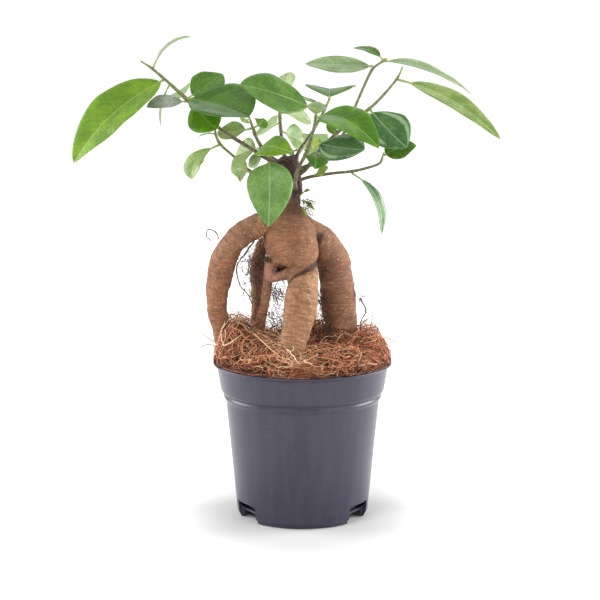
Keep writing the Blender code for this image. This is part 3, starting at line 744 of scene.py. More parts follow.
def plastic_finish(pot):
    """Moulded plastic: satin, with faint flow marks and a little dust."""
    finish = Finish("slate_plastic")
    place = finish.place()
    deep = tuple(pot.colour)
    flow = finish.grain(place, (9, 9, 60), detail=4)
    dust = finish.grain(place, (6, 6, 3), detail=6, rough=0.65).between(0.5, 0.8)
    skin = finish.grain(place, (0.35, 0.35, 0.35), detail=2)
    colour = finish.coats(deep, (flow.between(0.35, 0.65), shade(deep, 1.22)),
                          (dust * 0.12, (0.16, 0.13, 0.12)))
    return finish.done(Base_Color=colour, Roughness=flow * 0.10 + pot.gloss - 0.05 + dust * 0.12,
                       Normal=finish.relief(skin, 0.03, 0.5), Specular_IOR_Level=0.33)


def soil_finish():
    """Dark crumbly potting mix."""
    finish = Finish("potting_mix")
    crumb = finish.grain(finish.place(), (2.5, 2.5, 2.5), detail=8, rough=0.7)
    colour = finish.ramp(crumb, (0.3, (0.012, 0.008, 0.006)), (0.6, (0.05, 0.032, 0.022)),
                         (0.8, (0.12, 0.08, 0.05)))
    return finish.done(Base_Color=colour, Roughness=0.95, Normal=finish.relief(crumb, 1.2))


def fibre_finish(fibre):
    """Loose fibre: each strand has its own tone, from dark to straw, and mottles along its length; the
    near-black end of the tones is painted shade, given to the bed and to the lowest strands.
    """
    finish = Finish("coconut_fibre")
    place = finish.place()
    tone, _, _ = finish.parts(finish.own("strand"))
    mottle = finish.grain(place, (1.6, 1.6, 1.6), detail=4)
    scuff = finish.grain(place, (0.3, 0.3, 0.3), detail=3)
    middle = tuple(fibre.colour)
    colour = finish.ramp(tone + (mottle - 0.5) * 0.3, (0.0, (0.018, 0.008, 0.007)),
                         (0.28, shade(middle, 0.30)), (0.52, middle), (0.72, (0.58, 0.24, 0.11)),
                         (0.88, (0.66, 0.38, 0.21)), (1.0, (0.80, 0.62, 0.40)))
    return finish.done(Base_Color=colour, Roughness=0.72, Normal=finish.relief(scuff, 0.1, 0.6))


def bark_finish(roots):
    """Bark of the swollen roots: fine rings, pale pores, reddish and sooty patches, a dark scar on top,
    painted shade in the creases and hollows, and painted light on the centre leg and the bulges.
    """
    finish = Finish("fig_bark")
    place, bark = finish.place(), finish.own("bark")
    along, _, old = finish.parts(bark)
    crease, bruise, _ = finish.parts(finish.own("fold"))
    base = tuple(roots.colour)
    patches = finish.grain(place, (16, 16, 22), detail=4, rough=0.6)
    warmth = finish.grain(place, (34, 34, 40), detail=2)
    # painted light: the centre leg, whose bark starts one gap along, stands out in the light, so its bark is
    # painted the palest
    painted_leg_light = along.between(LEG_GAP - 1, LEG_GAP) * along.between(2 * LEG_GAP - 1, 2 * LEG_GAP - 2)
    worn = finish.grain(place, (7, 7, 9), detail=3, rough=0.6)
    rings = finish.grain(bark, (0.75, 13, 1000), detail=5, rough=0.7, warp=0.4)
    pale = finish.grain(bark, (0.6, 9, 1000), detail=3, rough=0.6, warp=0.3).between(0.56, 0.68)
    stain = finish.grain(place, (4.5, 4.5, 5.5), detail=5, rough=0.65)
    crackle = finish.cells(bark, (2.0, 3.4, 1000), "DISTANCE_TO_EDGE").between(0.07, 0.0)
    pores = finish.cells(bark, (2.6, 4.2, 1000)).between(0.19, 0.08)
    crumbs = finish.grain(place, (1.3, 1.3, 1.3), detail=5, rough=0.7)
    # painted shade: the bark is darkened to near black along the creases between roots, broken up by the
    # worn noise
    shadow = (crease + (worn - 0.5) * 0.9).between(0.25, 0.95)
    # painted shade darkens the bark in its hollows, and painted light lightens it on its bulges, by the
    # pointiness of the mesh
    hollow_shade_and_bulge_light = finish.node("NewGeometry", output=7)
    scar = finish.ramp(crumbs, (0.35, (0.022, 0.010, 0.012)), (0.55, (0.075, 0.032, 0.032)),
                       (0.75, (0.20, 0.11, 0.07)))
    colour = finish.coats(
        finish.ramp(patches, (0.28, shade(base, 0.62)), (0.47, base),
                    (0.66, (1.35 * base[0], 1.42 * base[1], 1.35 * base[2]))),
        (warmth.between(0.45, 0.62) * 0.5, (0.36, 0.135, 0.050)),
        (painted_leg_light * 0.45, (0.50, 0.27, 0.12)),
        (rings.between(0.56, 0.42) * (0.25 + worn * 0.8), shade(base, 0.42)),
        (pale * worn.between(0.70, 0.42) * 0.75, (0.52, 0.35, 0.22)),
        (stain.between(0.50, 0.38) * 0.5, shade(base, 0.45)),
        (crackle * 0.4, shade(base, 0.4)),
        (pores * 0.6, (0.62, 0.44, 0.30)),
        (crumbs.between(0.55, 0.68) * 0.75, shade(base, 0.25)),
        (bruise * 0.7, (0.40, 0.19, 0.14)),
        (shadow * 0.9, (0.030, 0.012, 0.009)),
        (hollow_shade_and_bulge_light.between(0.5, 0.38) * 0.85, (0.035, 0.015, 0.011)),
        (hollow_shade_and_bulge_light.between(0.52, 0.60) * 0.35, (0.50, 0.27, 0.14)),
        (old, scar),
    )
    height = rings * 0.6 + pale * 0.3 + pores * 0.3 + crumbs * 0.6 - crackle * 0.2
    return finish.done(Base_Color=colour, Roughness=0.62 + crumbs * 0.2,
                       Normal=finish.relief(height, 0.55, 0.9), Specular_IOR_Level=0.35)


def shoot_finish():
    """Thin bark of the shoots: brown and corky at the foot, green at the bud, with pale specks."""
    finish = Finish("shoot_bark")
    place = finish.place()
    _, age, fresh = finish.parts(finish.own("shoot"))
    streak = finish.grain(place, (1.2, 1.2, 1.2), detail=4)
    speck = finish.cells(place, (1.5, 1.5, 1.5)).between(0.2, 0.12)
    lit = streak.between(0.4, 0.6)
    old = finish.mix(lit, (0.060, 0.042, 0.022), (0.17, 0.135, 0.062))
    young = finish.mix(lit, (0.085, 0.105, 0.030), (0.17, 0.20, 0.065))
    colour = finish.coats(
        old,
        ((age + (streak - 0.5) * 0.5).between(0.25, 0.75), young),
        (speck * 0.5, (0.34, 0.30, 0.17)),
        (fresh * 0.7, (0.20, 0.27, 0.05)),
    )
    return finish.done(Base_Color=colour, Roughness=0.5,
                       Normal=finish.relief(streak + speck * 0.4, 0.18, 0.7))


def between_veins(along, reach, leaves):
    """How near a place on a blade is to a slanting side vein: 0 midway between two, 0.5 on one."""
    return abs(((along - reach * 0.75) / (leaves.veins / MM)).part() - 0.5)


def blade_finish(name, leaves, deep, fresh, vein, sheen, glow, band):
    """The upper side of a leaf: waxy, its veins and margin paler, its colour drifting over the blade."""
    finish = Finish("leaf_" + name)
    place, blade = finish.place(), finish.own("blade")
    across, along, share = finish.parts(blade)
    drift = finish.grain(place, (15, 15, 15), detail=4)
    mottle = finish.grain(place, (1.6, 1.6, 1.6), detail=4, rough=0.6)
    reach = abs(across)
    stripe = between_veins(along, reach, leaves)
    side_vein = stripe.between(0.40, 0.495)
    net = finish.cells(blade, (1.5, 1.5, 1000), "DISTANCE_TO_EDGE").between(0.10, 0.0)
    midrib = reach.between(0.75, 0.25)
    stroke = share.between(0.60, 0.70) * share.between(0.90, 0.80) * drift.between(0.35, 0.5)
    colour = finish.coats(
        deep,
        (drift.between(0.38, 0.62), fresh),
        (mottle.between(0.40, 0.62) * 0.45, shade(deep, 0.6)),
        (net * 0.05, vein),
        (side_vein * 0.10, vein),
        (midrib * 0.42, vein),
        (share.between(0.94, 1.0) * 0.18, vein),
        (stroke * band, vein),
    )
    height = stripe.between(0.5, 0.05) * 0.16 - midrib * 0.5 - side_vein * 0.10 - net * 0.03 + mottle * 0.08
    return finish.done(Base_Color=colour, Roughness=leaves.gloss + mottle * 0.08 - 0.04 + sheen,
                       Normal=finish.relief(height, 0.35, 0.8), Specular_IOR_Level=0.38,
                       Subsurface_Weight=glow, **LEAF_FLESH)


def underside_finish(leaves):
    """The under side: paler and matt, with raised veins."""
    finish = Finish("leaf_underside")
    across, along, _ = finish.parts(finish.own("blade"))
    reach = abs(across)
    mottle = finish.grain(finish.place(), (2, 2, 2), detail=3)
    stripe = between_veins(along, reach, leaves).between(0.43, 0.495)
    rib = reach.between(0.9, 0.3)
    colour = finish.coats((0.16, 0.29, 0.075), (mottle, (0.24, 0.38, 0.12)),
                          (stripe * 0.4 + rib * 0.5, (0.42, 0.50, 0.22)))
    return finish.done(Base_Color=colour, Roughness=0.55, Normal=finish.relief(stripe + rib, 0.3, 0.8),
                       Subsurface_Weight=0.12, **LEAF_FLESH)


def stalk_finish():
    """The pale green stalks and midribs."""
    finish = Finish("leaf_stalk")
    streak = finish.grain(finish.place(), (0.8, 0.8, 4), detail=3)
    colour = finish.mix(streak, (0.15, 0.24, 0.045), (0.30, 0.40, 0.11))
    return finish.done(Base_Color=colour, Roughness=0.45, Normal=finish.relief(streak, 0.1, 0.6))


def rootlet_finish():
    """Brown hair roots, some nearly black."""
    finish = Finish("hair_roots")
    tone, _, _ = finish.parts(finish.own("strand"))
    mottle = finish.grain(finish.place(), (2, 2, 2), detail=4)
    colour = finish.ramp(tone + (mottle - 0.5) * 0.5, (0.2, (0.018, 0.010, 0.007)),
                         (0.55, (0.085, 0.038, 0.018)), (0.85, (0.27, 0.13, 0.065)))
    return finish.done(Base_Color=colour, Roughness=0.8)


def floor_finish(stage):
    """A pale floor that glows away from the pot but not near it, so that round the pot a painted shadow in a
    squeezed ellipse darkens the pot's own shadow.
    """
    finish = Finish("pale_floor")
    east, north, _ = finish.parts(finish.place())
    # painted shadow: the glow fades out towards the pot, in an ellipse squeezed to the sides
    far = (east * east * SHADOW_SQUEEZE + north * north).root().between(*SHADOW)
    return finish.done(Base_Color=tuple(stage.floor), Roughness=0.9, Specular_IOR_Level=0.0,
                       Emission_Strength=stage.glow,
                       Emission_Color=finish.mix(far, (0.0, 0.0, 0.0), (1.0, 1.0, 1.0)))


# Colour deep in the blade, where it is fresh, and along its veins, with extra mattness, glow and pale bands
BLADES = {
    "bright": ((0.095, 0.200, 0.004), (0.165, 0.300, 0.010), (0.34, 0.46, 0.14), 0.00, 0.16, 0.0),
    "fresh": ((0.050, 0.150, 0.002), (0.110, 0.250, 0.006), (0.26, 0.40, 0.08), 0.00, 0.16, 0.0),
    "soft": ((0.085, 0.180, 0.030), (0.140, 0.265, 0.060), (0.30, 0.42, 0.17), 0.04, 0.12, 0.0),
    "deep": ((0.040, 0.112, 0.007), (0.085, 0.190, 0.018), (0.17, 0.31, 0.08), 0.00, 0.08, 0.0),
    # painted sheen: grey and silver are greyed to stand for the sheen of the waxy upper side; silver also
    # gives the left wisp its dry grey
    "grey": ((0.150, 0.235, 0.085), (0.240, 0.340, 0.160), (0.38, 0.46, 0.28), 0.08, 0.08, 0.3),
    "silver": ((0.160, 0.195, 0.130), (0.330, 0.350, 0.320), (0.42, 0.46, 0.36), 0.06, 0.06, 0.0),
    "blue": ((0.030, 0.100, 0.018), (0.075, 0.170, 0.042), (0.33, 0.43, 0.27), 0.02, 0.06, 0.65),
    "pale": ((0.230, 0.340, 0.120), (0.420, 0.510, 0.270), (0.55, 0.62, 0.38), 0.10, 0.20, 0.0),
    "olive": ((0.130, 0.215, 0.036), (0.240, 0.320, 0.095), (0.40, 0.48, 0.20), 0.05, 0.16, 0.0),
    "lime": ((0.220, 0.330, 0.030), (0.330, 0.440, 0.060), (0.52, 0.60, 0.20), 0.05, 0.20, 0.0),
}


# ---------------------------------------------------------------- pieces

class FIG_OT_pot(bpy.types.Operator):
    """Mould the round nursery pot and give the soil its crumb"""
    bl_idname = "fig.pot"
    bl_label = "Pot and soil"

    def execute(self, context):
        pot = context.scene.fig_pot
        band_foot, ledge_foot = POT_TOP - 20, POT_TOP - 25
        band_top, band_bottom, body_top, body_bottom = RIM - 2.6, RIM - 5.4, RIM - 8.6, RIM - 16
        foot = body_bottom - 1.6
        section = [
            # the inside, from the middle of the floor up to the lip
            (0, INNER_FLOOR), (body_bottom - WALL - 2, INNER_FLOOR), (body_bottom - WALL, INNER_FLOOR + 2),
            (body_top - WALL, band_foot - 1), (band_bottom - WALL, band_foot + 2),
            (band_top - WALL, POT_TOP - 0.4), (band_top - WALL + 0.5, POT_TOP),
            # the lip, the rim band and the ledge under it
            (RIM, POT_TOP), (RIM, POT_TOP - 1.3), (band_top + 0.2, POT_TOP - 2.4),
            (band_bottom + 0.3, band_foot + 1.5), (band_bottom - 0.8, band_foot - 0.2),
            (body_top + 1.0, ledge_foot + 4.0), (body_top + 1.9, ledge_foot + 1.8),
            (body_top + 0.2, ledge_foot - 0.8),
            # the body, its foot ring and the hollow under the floor
            (body_bottom, 3), (body_bottom - 0.9, 2.4), (foot, 0), (foot - 1.8, 0),
            (foot - 1.8, RECESS), (14, RECESS), (12, 0), (0, 0),
        ]
        shell = mesh_of("nursery_pot", *lathed(rounded(section, pot.edge / MM), POT_FACETS))
        cutters = []
        for angle in NOTCH_ANGLES:
            bpy.ops.mesh.primitive_cube_add(size=MM)
            cutter = context.object
            cutter.scale = NOTCH_SIZE
            turn = math.radians(angle)
            cutter.location = (body_bottom * MM * math.cos(turn), body_bottom * MM * math.sin(turn), 0)
            cutter.rotation_euler.z = turn
            soften = cutter.modifiers.new("soften", "BEVEL")
            soften.width = NOTCH_EDGE * MM
            soften.segments = 3
            cutters.append(cutter)
        context.view_layer.update()
        cuts = [("BOOLEAN", {"operation": "DIFFERENCE", "object": cutter}) for cutter in cutters]
        shell = worked("nursery_pot", shell, cuts)
        for cutter in cutters:
            bpy.data.objects.remove(cutter)
        shell.shade_smooth()
        shell.set_sharp_from_angle(angle=math.radians(40))
        show("nursery_pot", shell, [plastic_finish(pot)], ["pot"])
        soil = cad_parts["potting_soil"]
        soil.data.materials.clear()
        soil.data.materials.append(soil_finish())
        return {"FINISHED"}


def fibre_height(x, y):
    """Height of the topping at places, in millimetres."""
    rise = sum(m.rise * np.exp(-((x - m.x) ** 2 + (y - m.y) ** 2) / (2 * m.spread**2)) for m in MOUNDS)
    edge = np.minimum(np.hypot(x, y) / LIP_SPREAD, 1.05)
    return FIBRE_LEVEL + rise * np.maximum(0, 1 - edge**12) - 2.0 * edge**8


def fibre_bed():
    """The matted bed under the loose strands, as vertices and faces."""
    radius = np.linspace(0, LIP_SPREAD - BED_MARGIN, BED_RINGS)[1:]
    turn = np.arange(BED_SPOKES) * math.tau / BED_SPOKES
    x, y = np.outer(radius, np.cos(turn)), np.outer(radius, np.sin(turn))
    upper = np.stack([x, y, fibre_height(x, y) - BED_DEPTH], axis=-1)
    flat = upper.reshape(-1, 3)
    lump = 2.8 * wobble(flat, 8.0) + 1.6 * wobble(flat, 3.5, 9.0) + 0.8 * wobble(flat, 1.5, 4.0)
    upper[..., 2] += lump.reshape(x.shape)
    lower = upper[-1:] * (0.97, 0.97, 0) + (0, 0, BED_BOTTOM)
    middle = (0, 0, float(fibre_height(0.0, 0.0)) - BED_DEPTH)
    return capped(np.concatenate([upper, lower]), [middle, (0, 0, BED_BOTTOM)])


def root_feet(draw, count):
    """Starting places and heights of the strands that cling to the feet of the roots."""
    foot = []
    for bends in SWOLLEN[:ROOT_COUNT]:
        route = smooth_route(bends, ROOT_STEP)
        foot.append(route[np.abs(route[:, 2] - FIBRE_LEVEL - 4).argmin()])
    foot = np.array(foot)[draw.integers(0, len(foot), count)]
    turn = draw.random(count) * math.tau
    away = foot[:, 3] + draw.random(count) * 3.5
    places = foot[:, :2] + away[:, None] * np.column_stack([np.cos(turn), np.sin(turn)])
    return places, 14 * draw.random(count) ** 1.5 - 1


def loose_strands(fibre, draw, start, lift):
    """Curly strands that begin at places on the topping, at heights over it: vertices, faces, tones."""
    count, points = len(start), STRAND_POINTS
    order = np.arange(points)
    heading = draw.random(count) * math.tau
    length = fibre.length / MM * (0.25 + 0.75 * draw.random(count) ** 1.8)
    curl = np.cumsum(draw.normal(0, 0.50, (count, points)), axis=1)
    heading = heading[:, None] + (curl + draw.normal(0, 0.24, (count, 1)) * order)
    step = length[:, None] / (points - 1)
    x = start[:, :1] + np.cumsum(np.cos(heading) * step, axis=1)
    y = start[:, 1:] + np.cumsum(np.sin(heading) * step, axis=1)
    far = np.hypot(x, y)
    reach = LIP_SPREAD - 0.4 + 2.2 * draw.random((count, 1)) ** 2
    keep = np.minimum(1.0, reach / far)
    x, y = x * keep, y * keep
    arch = np.sin(np.linspace(0, math.pi, points)) * draw.normal(0.3, 1.6, (count, 1))
    slope = draw.normal(0, 0.13, (count, 1)) * step * (order - points / 2)
    waves = np.cumsum(draw.normal(0, 0.55, (count, points)), axis=1)
    z = fibre_height(x, y) + lift[:, None] + arch + slope + waves
    on_rim = POT_TOP + 0.3 + draw.random((count, 1))
    z = np.maximum(z, np.where(far * keep > RIM_INSIDE, on_rim, POT_TOP - 2))
    thick = fibre.thickness / MM / 2 * (0.24 + 0.76 * draw.random((count, 1)) ** 5)
    taper = np.interp(np.linspace(0, 1, points), (0, 0.15, 0.7, 1), (0.6, 1, 0.9, 0.25))
    vertices, faces = tubes(np.stack([x, y, z], axis=-1), thick * taper, STRAND_SIDES)
    patch = wobble(np.column_stack([start, lift]), 13.0)
    clump = np.exp(-((start - ORANGE_CLUMP) ** 2).sum(axis=1) / (2 * 9.0**2))
    # the tone varies by patch, by the orange clump and by chance; as painted shade, the lower a strand lies
    # the darker it is, and the higher the lighter
    tone = 0.34 + 0.24 * patch + 0.20 * clump + 0.050 * lift + draw.normal(0, 0.19, count)
    return vertices, faces, np.repeat(np.clip(tone, 0.02, 0.97), points * STRAND_SIDES)


class FIG_OT_fibre(bpy.types.Operator):
    """Spread the coconut fibre: a matted bed and loose strands over it"""
    bl_idname = "fig.fibre"
    bl_label = "Fibre topping"

    def execute(self, context):
        fibre = context.scene.fig_fibre
        draw = np.random.default_rng(FIBRE_SEED)
        count = fibre.strands
        radius = (LIP_SPREAD - 1.5) * np.sqrt(draw.random(count))
        turn = draw.random(count) * math.tau
        start = np.column_stack([radius * np.cos(turn), radius * np.sin(turn)])
        lift = draw.random(count) ** 2.2 * STRAND_HEAP - STRAND_SINK
        feet, height = root_feet(draw, count // FOOT_SHARE)
        start, lift = np.concatenate([start, feet]), np.concatenate([lift, height])
        bed, bed_faces = fibre_bed()
        # painted shade: the matted bed gets the near-black end of the fibre's tones, for the shade under the
        # strands
        bed_shade_tone = 0.06 + 0.06 * wobble(bed, 4.0)
        loose, loose_faces, tone = loose_strands(fibre, draw, start, lift)
        shells, tones = [(bed, bed_faces), (loose, loose_faces)], [bed_shade_tone, tone]
        for tone, bends in STRAYS:
            route = smooth_route(bends, 1.5)
            shells.append(rod(route, STRAY_SIDES))
            tones.append(np.full(STRAY_SIDES * len(route), tone))
        vertices, faces = gathered(shells)
        tone = np.concatenate(tones)
        mesh = mesh_of("coconut_fibre", vertices, faces, {"strand": np.column_stack([tone, tone, tone])})
        show("coconut_fibre", mesh, [fibre_finish(fibre)], ["coir_mulch"])
        return {"FINISHED"}


def root_lines():
    """Points on the swollen routes, a row each.

    A row holds the place and radius (0 to 3), the direction along and two square to it (4 to 12), the
    distance along (13) and the root's number (14), which the bulb, neck and stump share.
    """
    rows = []
    for number, bends in enumerate(SWOLLEN):
        route = smooth_route(bends, ROOT_STEP)
        along, side, up = (vectors[0] for vectors in frames(route[None, :, :3]))
        steps = np.linalg.norm(np.diff(route[:, :3], axis=0), axis=1)
        distance = np.concatenate([[0], np.cumsum(steps)]) + LEG_GAP * number
        root = np.full((len(route), 1), min(number, ROOT_COUNT))
        rows.append(np.hstack([route, along, side, up, distance[:, None], root]))
    return np.concatenate(rows)


def bark_places(points, lines):
    """For each point, how far along and round its root it lies in millimetres, and how deep in a crease."""
    result = []
    for block in np.array_split(points, len(points) // 5000 + 1):
        away = np.linalg.norm(block[:, None] - lines[None, :, :3], axis=2) / lines[:, 3]
        line = lines[away.argmin(axis=1)]
        offset = block - line[:, :3]
        angle = np.arctan2((offset * line[:, 10:13]).sum(1), (offset * line[:, 7:10]).sum(1))
        along = line[:, 13] + (offset * line[:, 4:7]).sum(1)
        nearest = [away[:, lines[:, 14] == root].min(axis=1) for root in range(ROOT_COUNT + 1)]
        first, second = np.sort(nearest, axis=0)[:2]
        result.append(np.column_stack([along, angle * line[:, 3],
                                       np.clip(1 - (second - first) / CREASE, 0, 1)]))
    return np.concatenate(result)


class FIG_OT_roots(bpy.types.Operator):
    """Grow the swollen roots, the neck and the scarred stump, with folds and lumps in their bark"""
    bl_idname = "fig.roots"
    bl_label = "Swollen roots"

    def execute(self, context):
        roots = context.scene.fig_roots
        shells = [rod(smooth_route(bends, ROOT_STEP), ROOT_SIDES) for bends in SWOLLEN]
        skin = worked("swollen_roots", mesh_of("swollen_roots", *gathered(shells)), [
            ("REMESH", {"mode": "VOXEL", "voxel_size": roots.fineness}),
            ("SMOOTH", {"factor": 0.5, "iterations": 3}),
        ])
        points = numbers(skin.vertices, "co") / MM
        normals = numbers(skin.vertices, "normal")
        places = bark_places(points, root_lines())
        ringed = np.column_stack([places[:, 0] / 3.0, places[:, 1] / 16.0, np.zeros(len(points))])
        stump = np.clip((points[:, 2] - STUMP_FOOT) / STUMP_RISE, 0, 1)
        depth = roots.relief / MM
        crease = places[:, 2] * np.clip((CREASE_TOP - points[:, 2]) / 8, 0, 1)
        bruise = np.exp(-((points - BRUISE) ** 2).sum(axis=1) / (2 * 4.5**2))
        push = depth * (0.80 * wobble(points, 13.0) + 0.45 * wobble(points, 5.0, 7.0)
                        + 0.32 * wobble(ringed, 1.0) + 0.22 * wobble(points, 1.9, 3.0) - 1.1 * crease**1.5)
        push += stump * (0.9 * wobble(points, 3.2, 5.0) + 0.5 * wobble(points, 1.6, 2.0))
        points = (points + normals * push[:, None]) * MM
        skin.vertices.foreach_set("co", points.astype(np.float32).ravel())
        carry(skin, "bark", np.column_stack([places[:, :2], stump]))
        # the crease depth carried in fold also masks the painted shade in the bark's creases
        carry(skin, "fold", np.column_stack([crease, bruise, stump]))
        skin.shade_smooth()
        show("swollen_roots", skin, [bark_finish(roots)], ["root_trunk"])
        return {"FINISHED"}


class FIG_OT_shoots(bpy.types.Operator):
    """Grow the shoots, swollen where each leaf sits and ending in a pointed bud"""
    bl_idname = "fig.shoots"
    bl_label = "Shoots"

    def execute(self, context):
        finish = shoot_finish()
        for name, bends in SHOOTS.items():
            route = smooth_route(bends, 1.2)
            heading = unit(route[-1, :3] - route[-4, :3])
            bud = np.array([np.append(route[-1, :3] + heading * reach, width * route[-1, 3])
                            for reach, width in BUD])
            route = np.concatenate([route, bud])
            steps = np.concatenate([[0], np.cumsum(np.linalg.norm(np.diff(route[:, :3], axis=0), axis=1))])
            radius = route[:, 3] * (1 + 0.05 * wobble(route[:, :3], 4.0))
            for leaf in LEAVES.values():
                if leaf.shoot == name:
                    away = np.linalg.norm(route[:, :3] - np.array(leaf.seat), axis=1)
                    radius += 0.22 * np.exp(-(steps - steps[away.argmin()]) ** 2 / (2 * 1.5**2))
            vertices, faces = rod(route, SHOOT_SIDES, radius)
            age = steps / steps[-1]
            fresh = np.clip((steps - steps[-1] + 6.5) / 2, 0, 1)
            carried = np.repeat(np.column_stack([steps, age, fresh]), SHOOT_SIDES, axis=0)
            piece = name.replace("branch", "shoot")
            show(piece, mesh_of(piece, vertices, faces, {"shoot": carried}), [finish], [name])
        return {"FINISHED"}


def leaf_base(leaf):
    """Where a leaf's stalk meets its shoot: clear of the bark, on the side that the leaf grows to."""
    if leaf.shoot not in SHOOTS:
        return Vector(leaf.seat)
    route = smooth_route(SHOOTS[leaf.shoot], 6.0)
    near = int(np.linalg.norm(route[:, :3] - np.array(leaf.seat), axis=1).argmin())
    core = Vector(route[near][:3])
    reach = Vector(leaf.tip) - core
    if 0 < near < len(route) - 1:
        along = Vector(route[near + 1][:3] - route[near - 1][:3]).normalized()
        reach -= along * reach.dot(along)
    return core + reach.normalized() * (route[near][3] + 0.9)


def leaf_line(leaf, base, along):
    """The midrib's place, direction and the blade's two square directions, along from 0 at the seat to 1."""
    tip = Vector(leaf.tip)
    crown = (base + tip) / 2 + 2 * Vector(leaf.bow)
    middle = base * (1 - along) ** 2 + crown * (2 * along * (1 - along)) + tip * along**2
    tangent = ((crown - base) * (1 - along) + (tip - crown) * along).normalized()
    sideways = tangent.cross(Vector(leaf.faces).normalized()).normalized()
    return middle, tangent, sideways, sideways.cross(tangent)


def half_breadth(leaf, share):
    """Half the leaf's breadth at a share of its blade."""
    stretch = math.log(0.5) / math.log(leaf.fullest)
    return max(0.3, leaf.width / 2 * math.sin(math.pi * min(max(share, 0), 1) ** stretch) ** 0.75)


def leaf_shell(leaf, seed, thickness):
    """A blade with its rim, stalk and midrib: vertices, faces, what they carry and their finishes."""
    base = leaf_base(leaf)
    length = (Vector(leaf.tip) - base).length
    stalk = leaf.petiole / length
    rows, columns = BLADE_ROWS, BLADE_COLUMNS
    shares = (1 - np.cos(np.linspace(0, math.pi, rows + 1))) / 2
    sheet = np.empty((rows + 1, columns + 1, 3))
    carried = np.empty_like(sheet)
    for row, share in enumerate(shares):
        middle, _, sideways, upward = leaf_line(leaf, base, stalk + share * (1 - stalk))
        breadth = half_breadth(leaf, share)
        for column, across in enumerate(np.linspace(-1, 1, columns + 1)):
            reach = abs(across)
            rise = leaf.fold * (math.sqrt(reach**2 + 0.01) - 0.1) - 0.07 * reach**3
            ripple = noise.noise(Vector((share * 4.5, across * 1.2, seed))) * reach**1.5
            curl = noise.noise(Vector((share * 1.4, seed, across * 0.4))) * 0.05
            lift = breadth * (rise + 0.10 * ripple) + length * curl * share * (1 - share)
            sheet[row, column] = middle + sideways * (across * breadth) + upward * lift
            carried[row, column] = (across * breadth, share * (length - leaf.petiole), reach)
    normal = unit(np.cross(np.gradient(sheet, axis=1), np.gradient(sheet, axis=0)))
    rim = 1 - 0.55 * np.abs(np.linspace(-1, 1, columns + 1)) ** 4
    half = thickness / 2 * rim[None, :, None] * normal
    upper, lower = (sheet + half).reshape(-1, 3), (sheet - half).reshape(-1, 3)
    index = np.arange((rows + 1) * (columns + 1)).reshape(rows + 1, columns + 1)
    top = np.stack([index[:-1, :-1], index[:-1, 1:], index[1:, 1:], index[1:, :-1]], axis=-1).reshape(-1, 4)
    border = np.concatenate([index[0], index[1:, -1], index[-1, -2::-1], index[-2:0:-1, 0]])
    under = border + index.size
    rims = np.stack([border, under, np.roll(under, -1), np.roll(border, -1)], axis=-1)
    faces = np.concatenate([top, top[:, ::-1] + index.size, rims]).tolist()
    finishes = [0] * len(top) + [1] * len(top) + [0] * len(rims)
    vertices = np.concatenate([upper, lower])
    path, radii = [], []
    for along in np.linspace(-0.8 / length, 0.97, 40):
        middle, _, _, upward = leaf_line(leaf, base, along)
        share = (along - stalk) / (1 - stalk)
        width = float(np.interp(share, (-stalk, -0.02, 0.15, 0.6, 1), (0.95, 0.70, 0.55, 0.38, 0.1)))
        width *= min(1.0, 0.55 + leaf.width / 60)
        path.append(middle - upward * width * 0.55 * min(max(share * 12, 0), 1))
        radii.append(width)
    tube, tube_faces = tubes([path], [radii], 8)
    finishes += [2] * len(tube_faces)
    vertices, faces = gathered([(vertices, faces), (tube, tube_faces)])
    flat = carried.reshape(-1, 3)
    return vertices, faces, np.concatenate([flat, flat, np.zeros((len(tube), 3))]), finishes


class FIG_OT_leaves(bpy.types.Operator):
    """Grow the leaves, each a waxy veined blade on its stalk"""
    bl_idname = "fig.leaves"
    bl_label = "Leaves"

    def execute(self, context):
        leaves = context.scene.fig_leaves
        blades = {name: blade_finish(name, leaves, *look) for name, look in BLADES.items()}
        under, stalk = underside_finish(leaves), stalk_finish()
        for seed, (name, leaf) in enumerate([*LEAVES.items(), *NECK_LEAVES.items()]):
            vertices, faces, carried, finishes = leaf_shell(leaf, seed * 3.7, leaves.thickness / MM)
            piece = "blade_" + name.removeprefix("leaf_")
            mesh = mesh_of(piece, vertices, faces, {"blade": carried})
            show(piece, mesh, [blades[leaf.finish], under, stalk],
                 [name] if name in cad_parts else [])
            mesh.polygons.foreach_set("material_index", finishes)
        return {"FINISHED"}


class FIG_OT_rootlets(bpy.types.Operator):
    """Hang the hair roots between and beside the swollen ones"""
    bl_idname = "fig.rootlets"
    bl_label = "Hair roots"

    def execute(self, context):
        finish = rootlet_finish()
        draw = np.random.default_rng(ROOTLET_SEED)
        for name, bends in AERIAL.items():
            route = smooth_route(bends, 1.0)
            route[:, :3] += 0.12 * draw.normal(0, 1, (len(route), 3)).cumsum(axis=0)
            vertices, faces = rod(route, 8, route[:, 3] * (0.6 + 0.2 * wobble(route[:, :3], 3)))
            mesh = mesh_of("hair_" + name, vertices, faces, {"strand": np.full((len(vertices), 3), 0.5)})
            show("hair_" + name, mesh, [finish], [name])
        shells, tones = [], []
        for x, y, z, spread, count, length, way, thick in TUFTS:
            points = ROOTLET_POINTS
            start = np.array((x, y, z)) + draw.normal(0, spread, (count, 3))
            heading = unit(np.array(way) + draw.normal(0, 0.45, (count, 3)))
            turns = np.cumsum(draw.normal(0, 0.42, (count, points, 3)), axis=1)
            reach = length * (0.35 + 0.65 * draw.random((count, 1, 1))) / (points - 1)
            paths = start[:, None] + np.cumsum(unit(heading[:, None] + turns) * reach, axis=1)
            paths[..., 2] = np.maximum(paths[..., 2], FIBRE_LEVEL)
            radii = thick / 2 * (0.5 + draw.random((count, 1))) * np.linspace(1, 0.35, points)
            shells.append(tubes(paths, radii, ROOTLET_SIDES))
            tones.append(np.repeat(np.clip(draw.normal(0.45, 0.2, count), 0, 1), points * ROOTLET_SIDES))
        vertices, faces = gathered(shells)
        tone = np.concatenate(tones)
        mesh = mesh_of("hair_tufts", vertices, faces, {"strand": np.column_stack([tone, tone, tone])})
        show("hair_tufts", mesh, [finish])
        return {"FINISHED"}


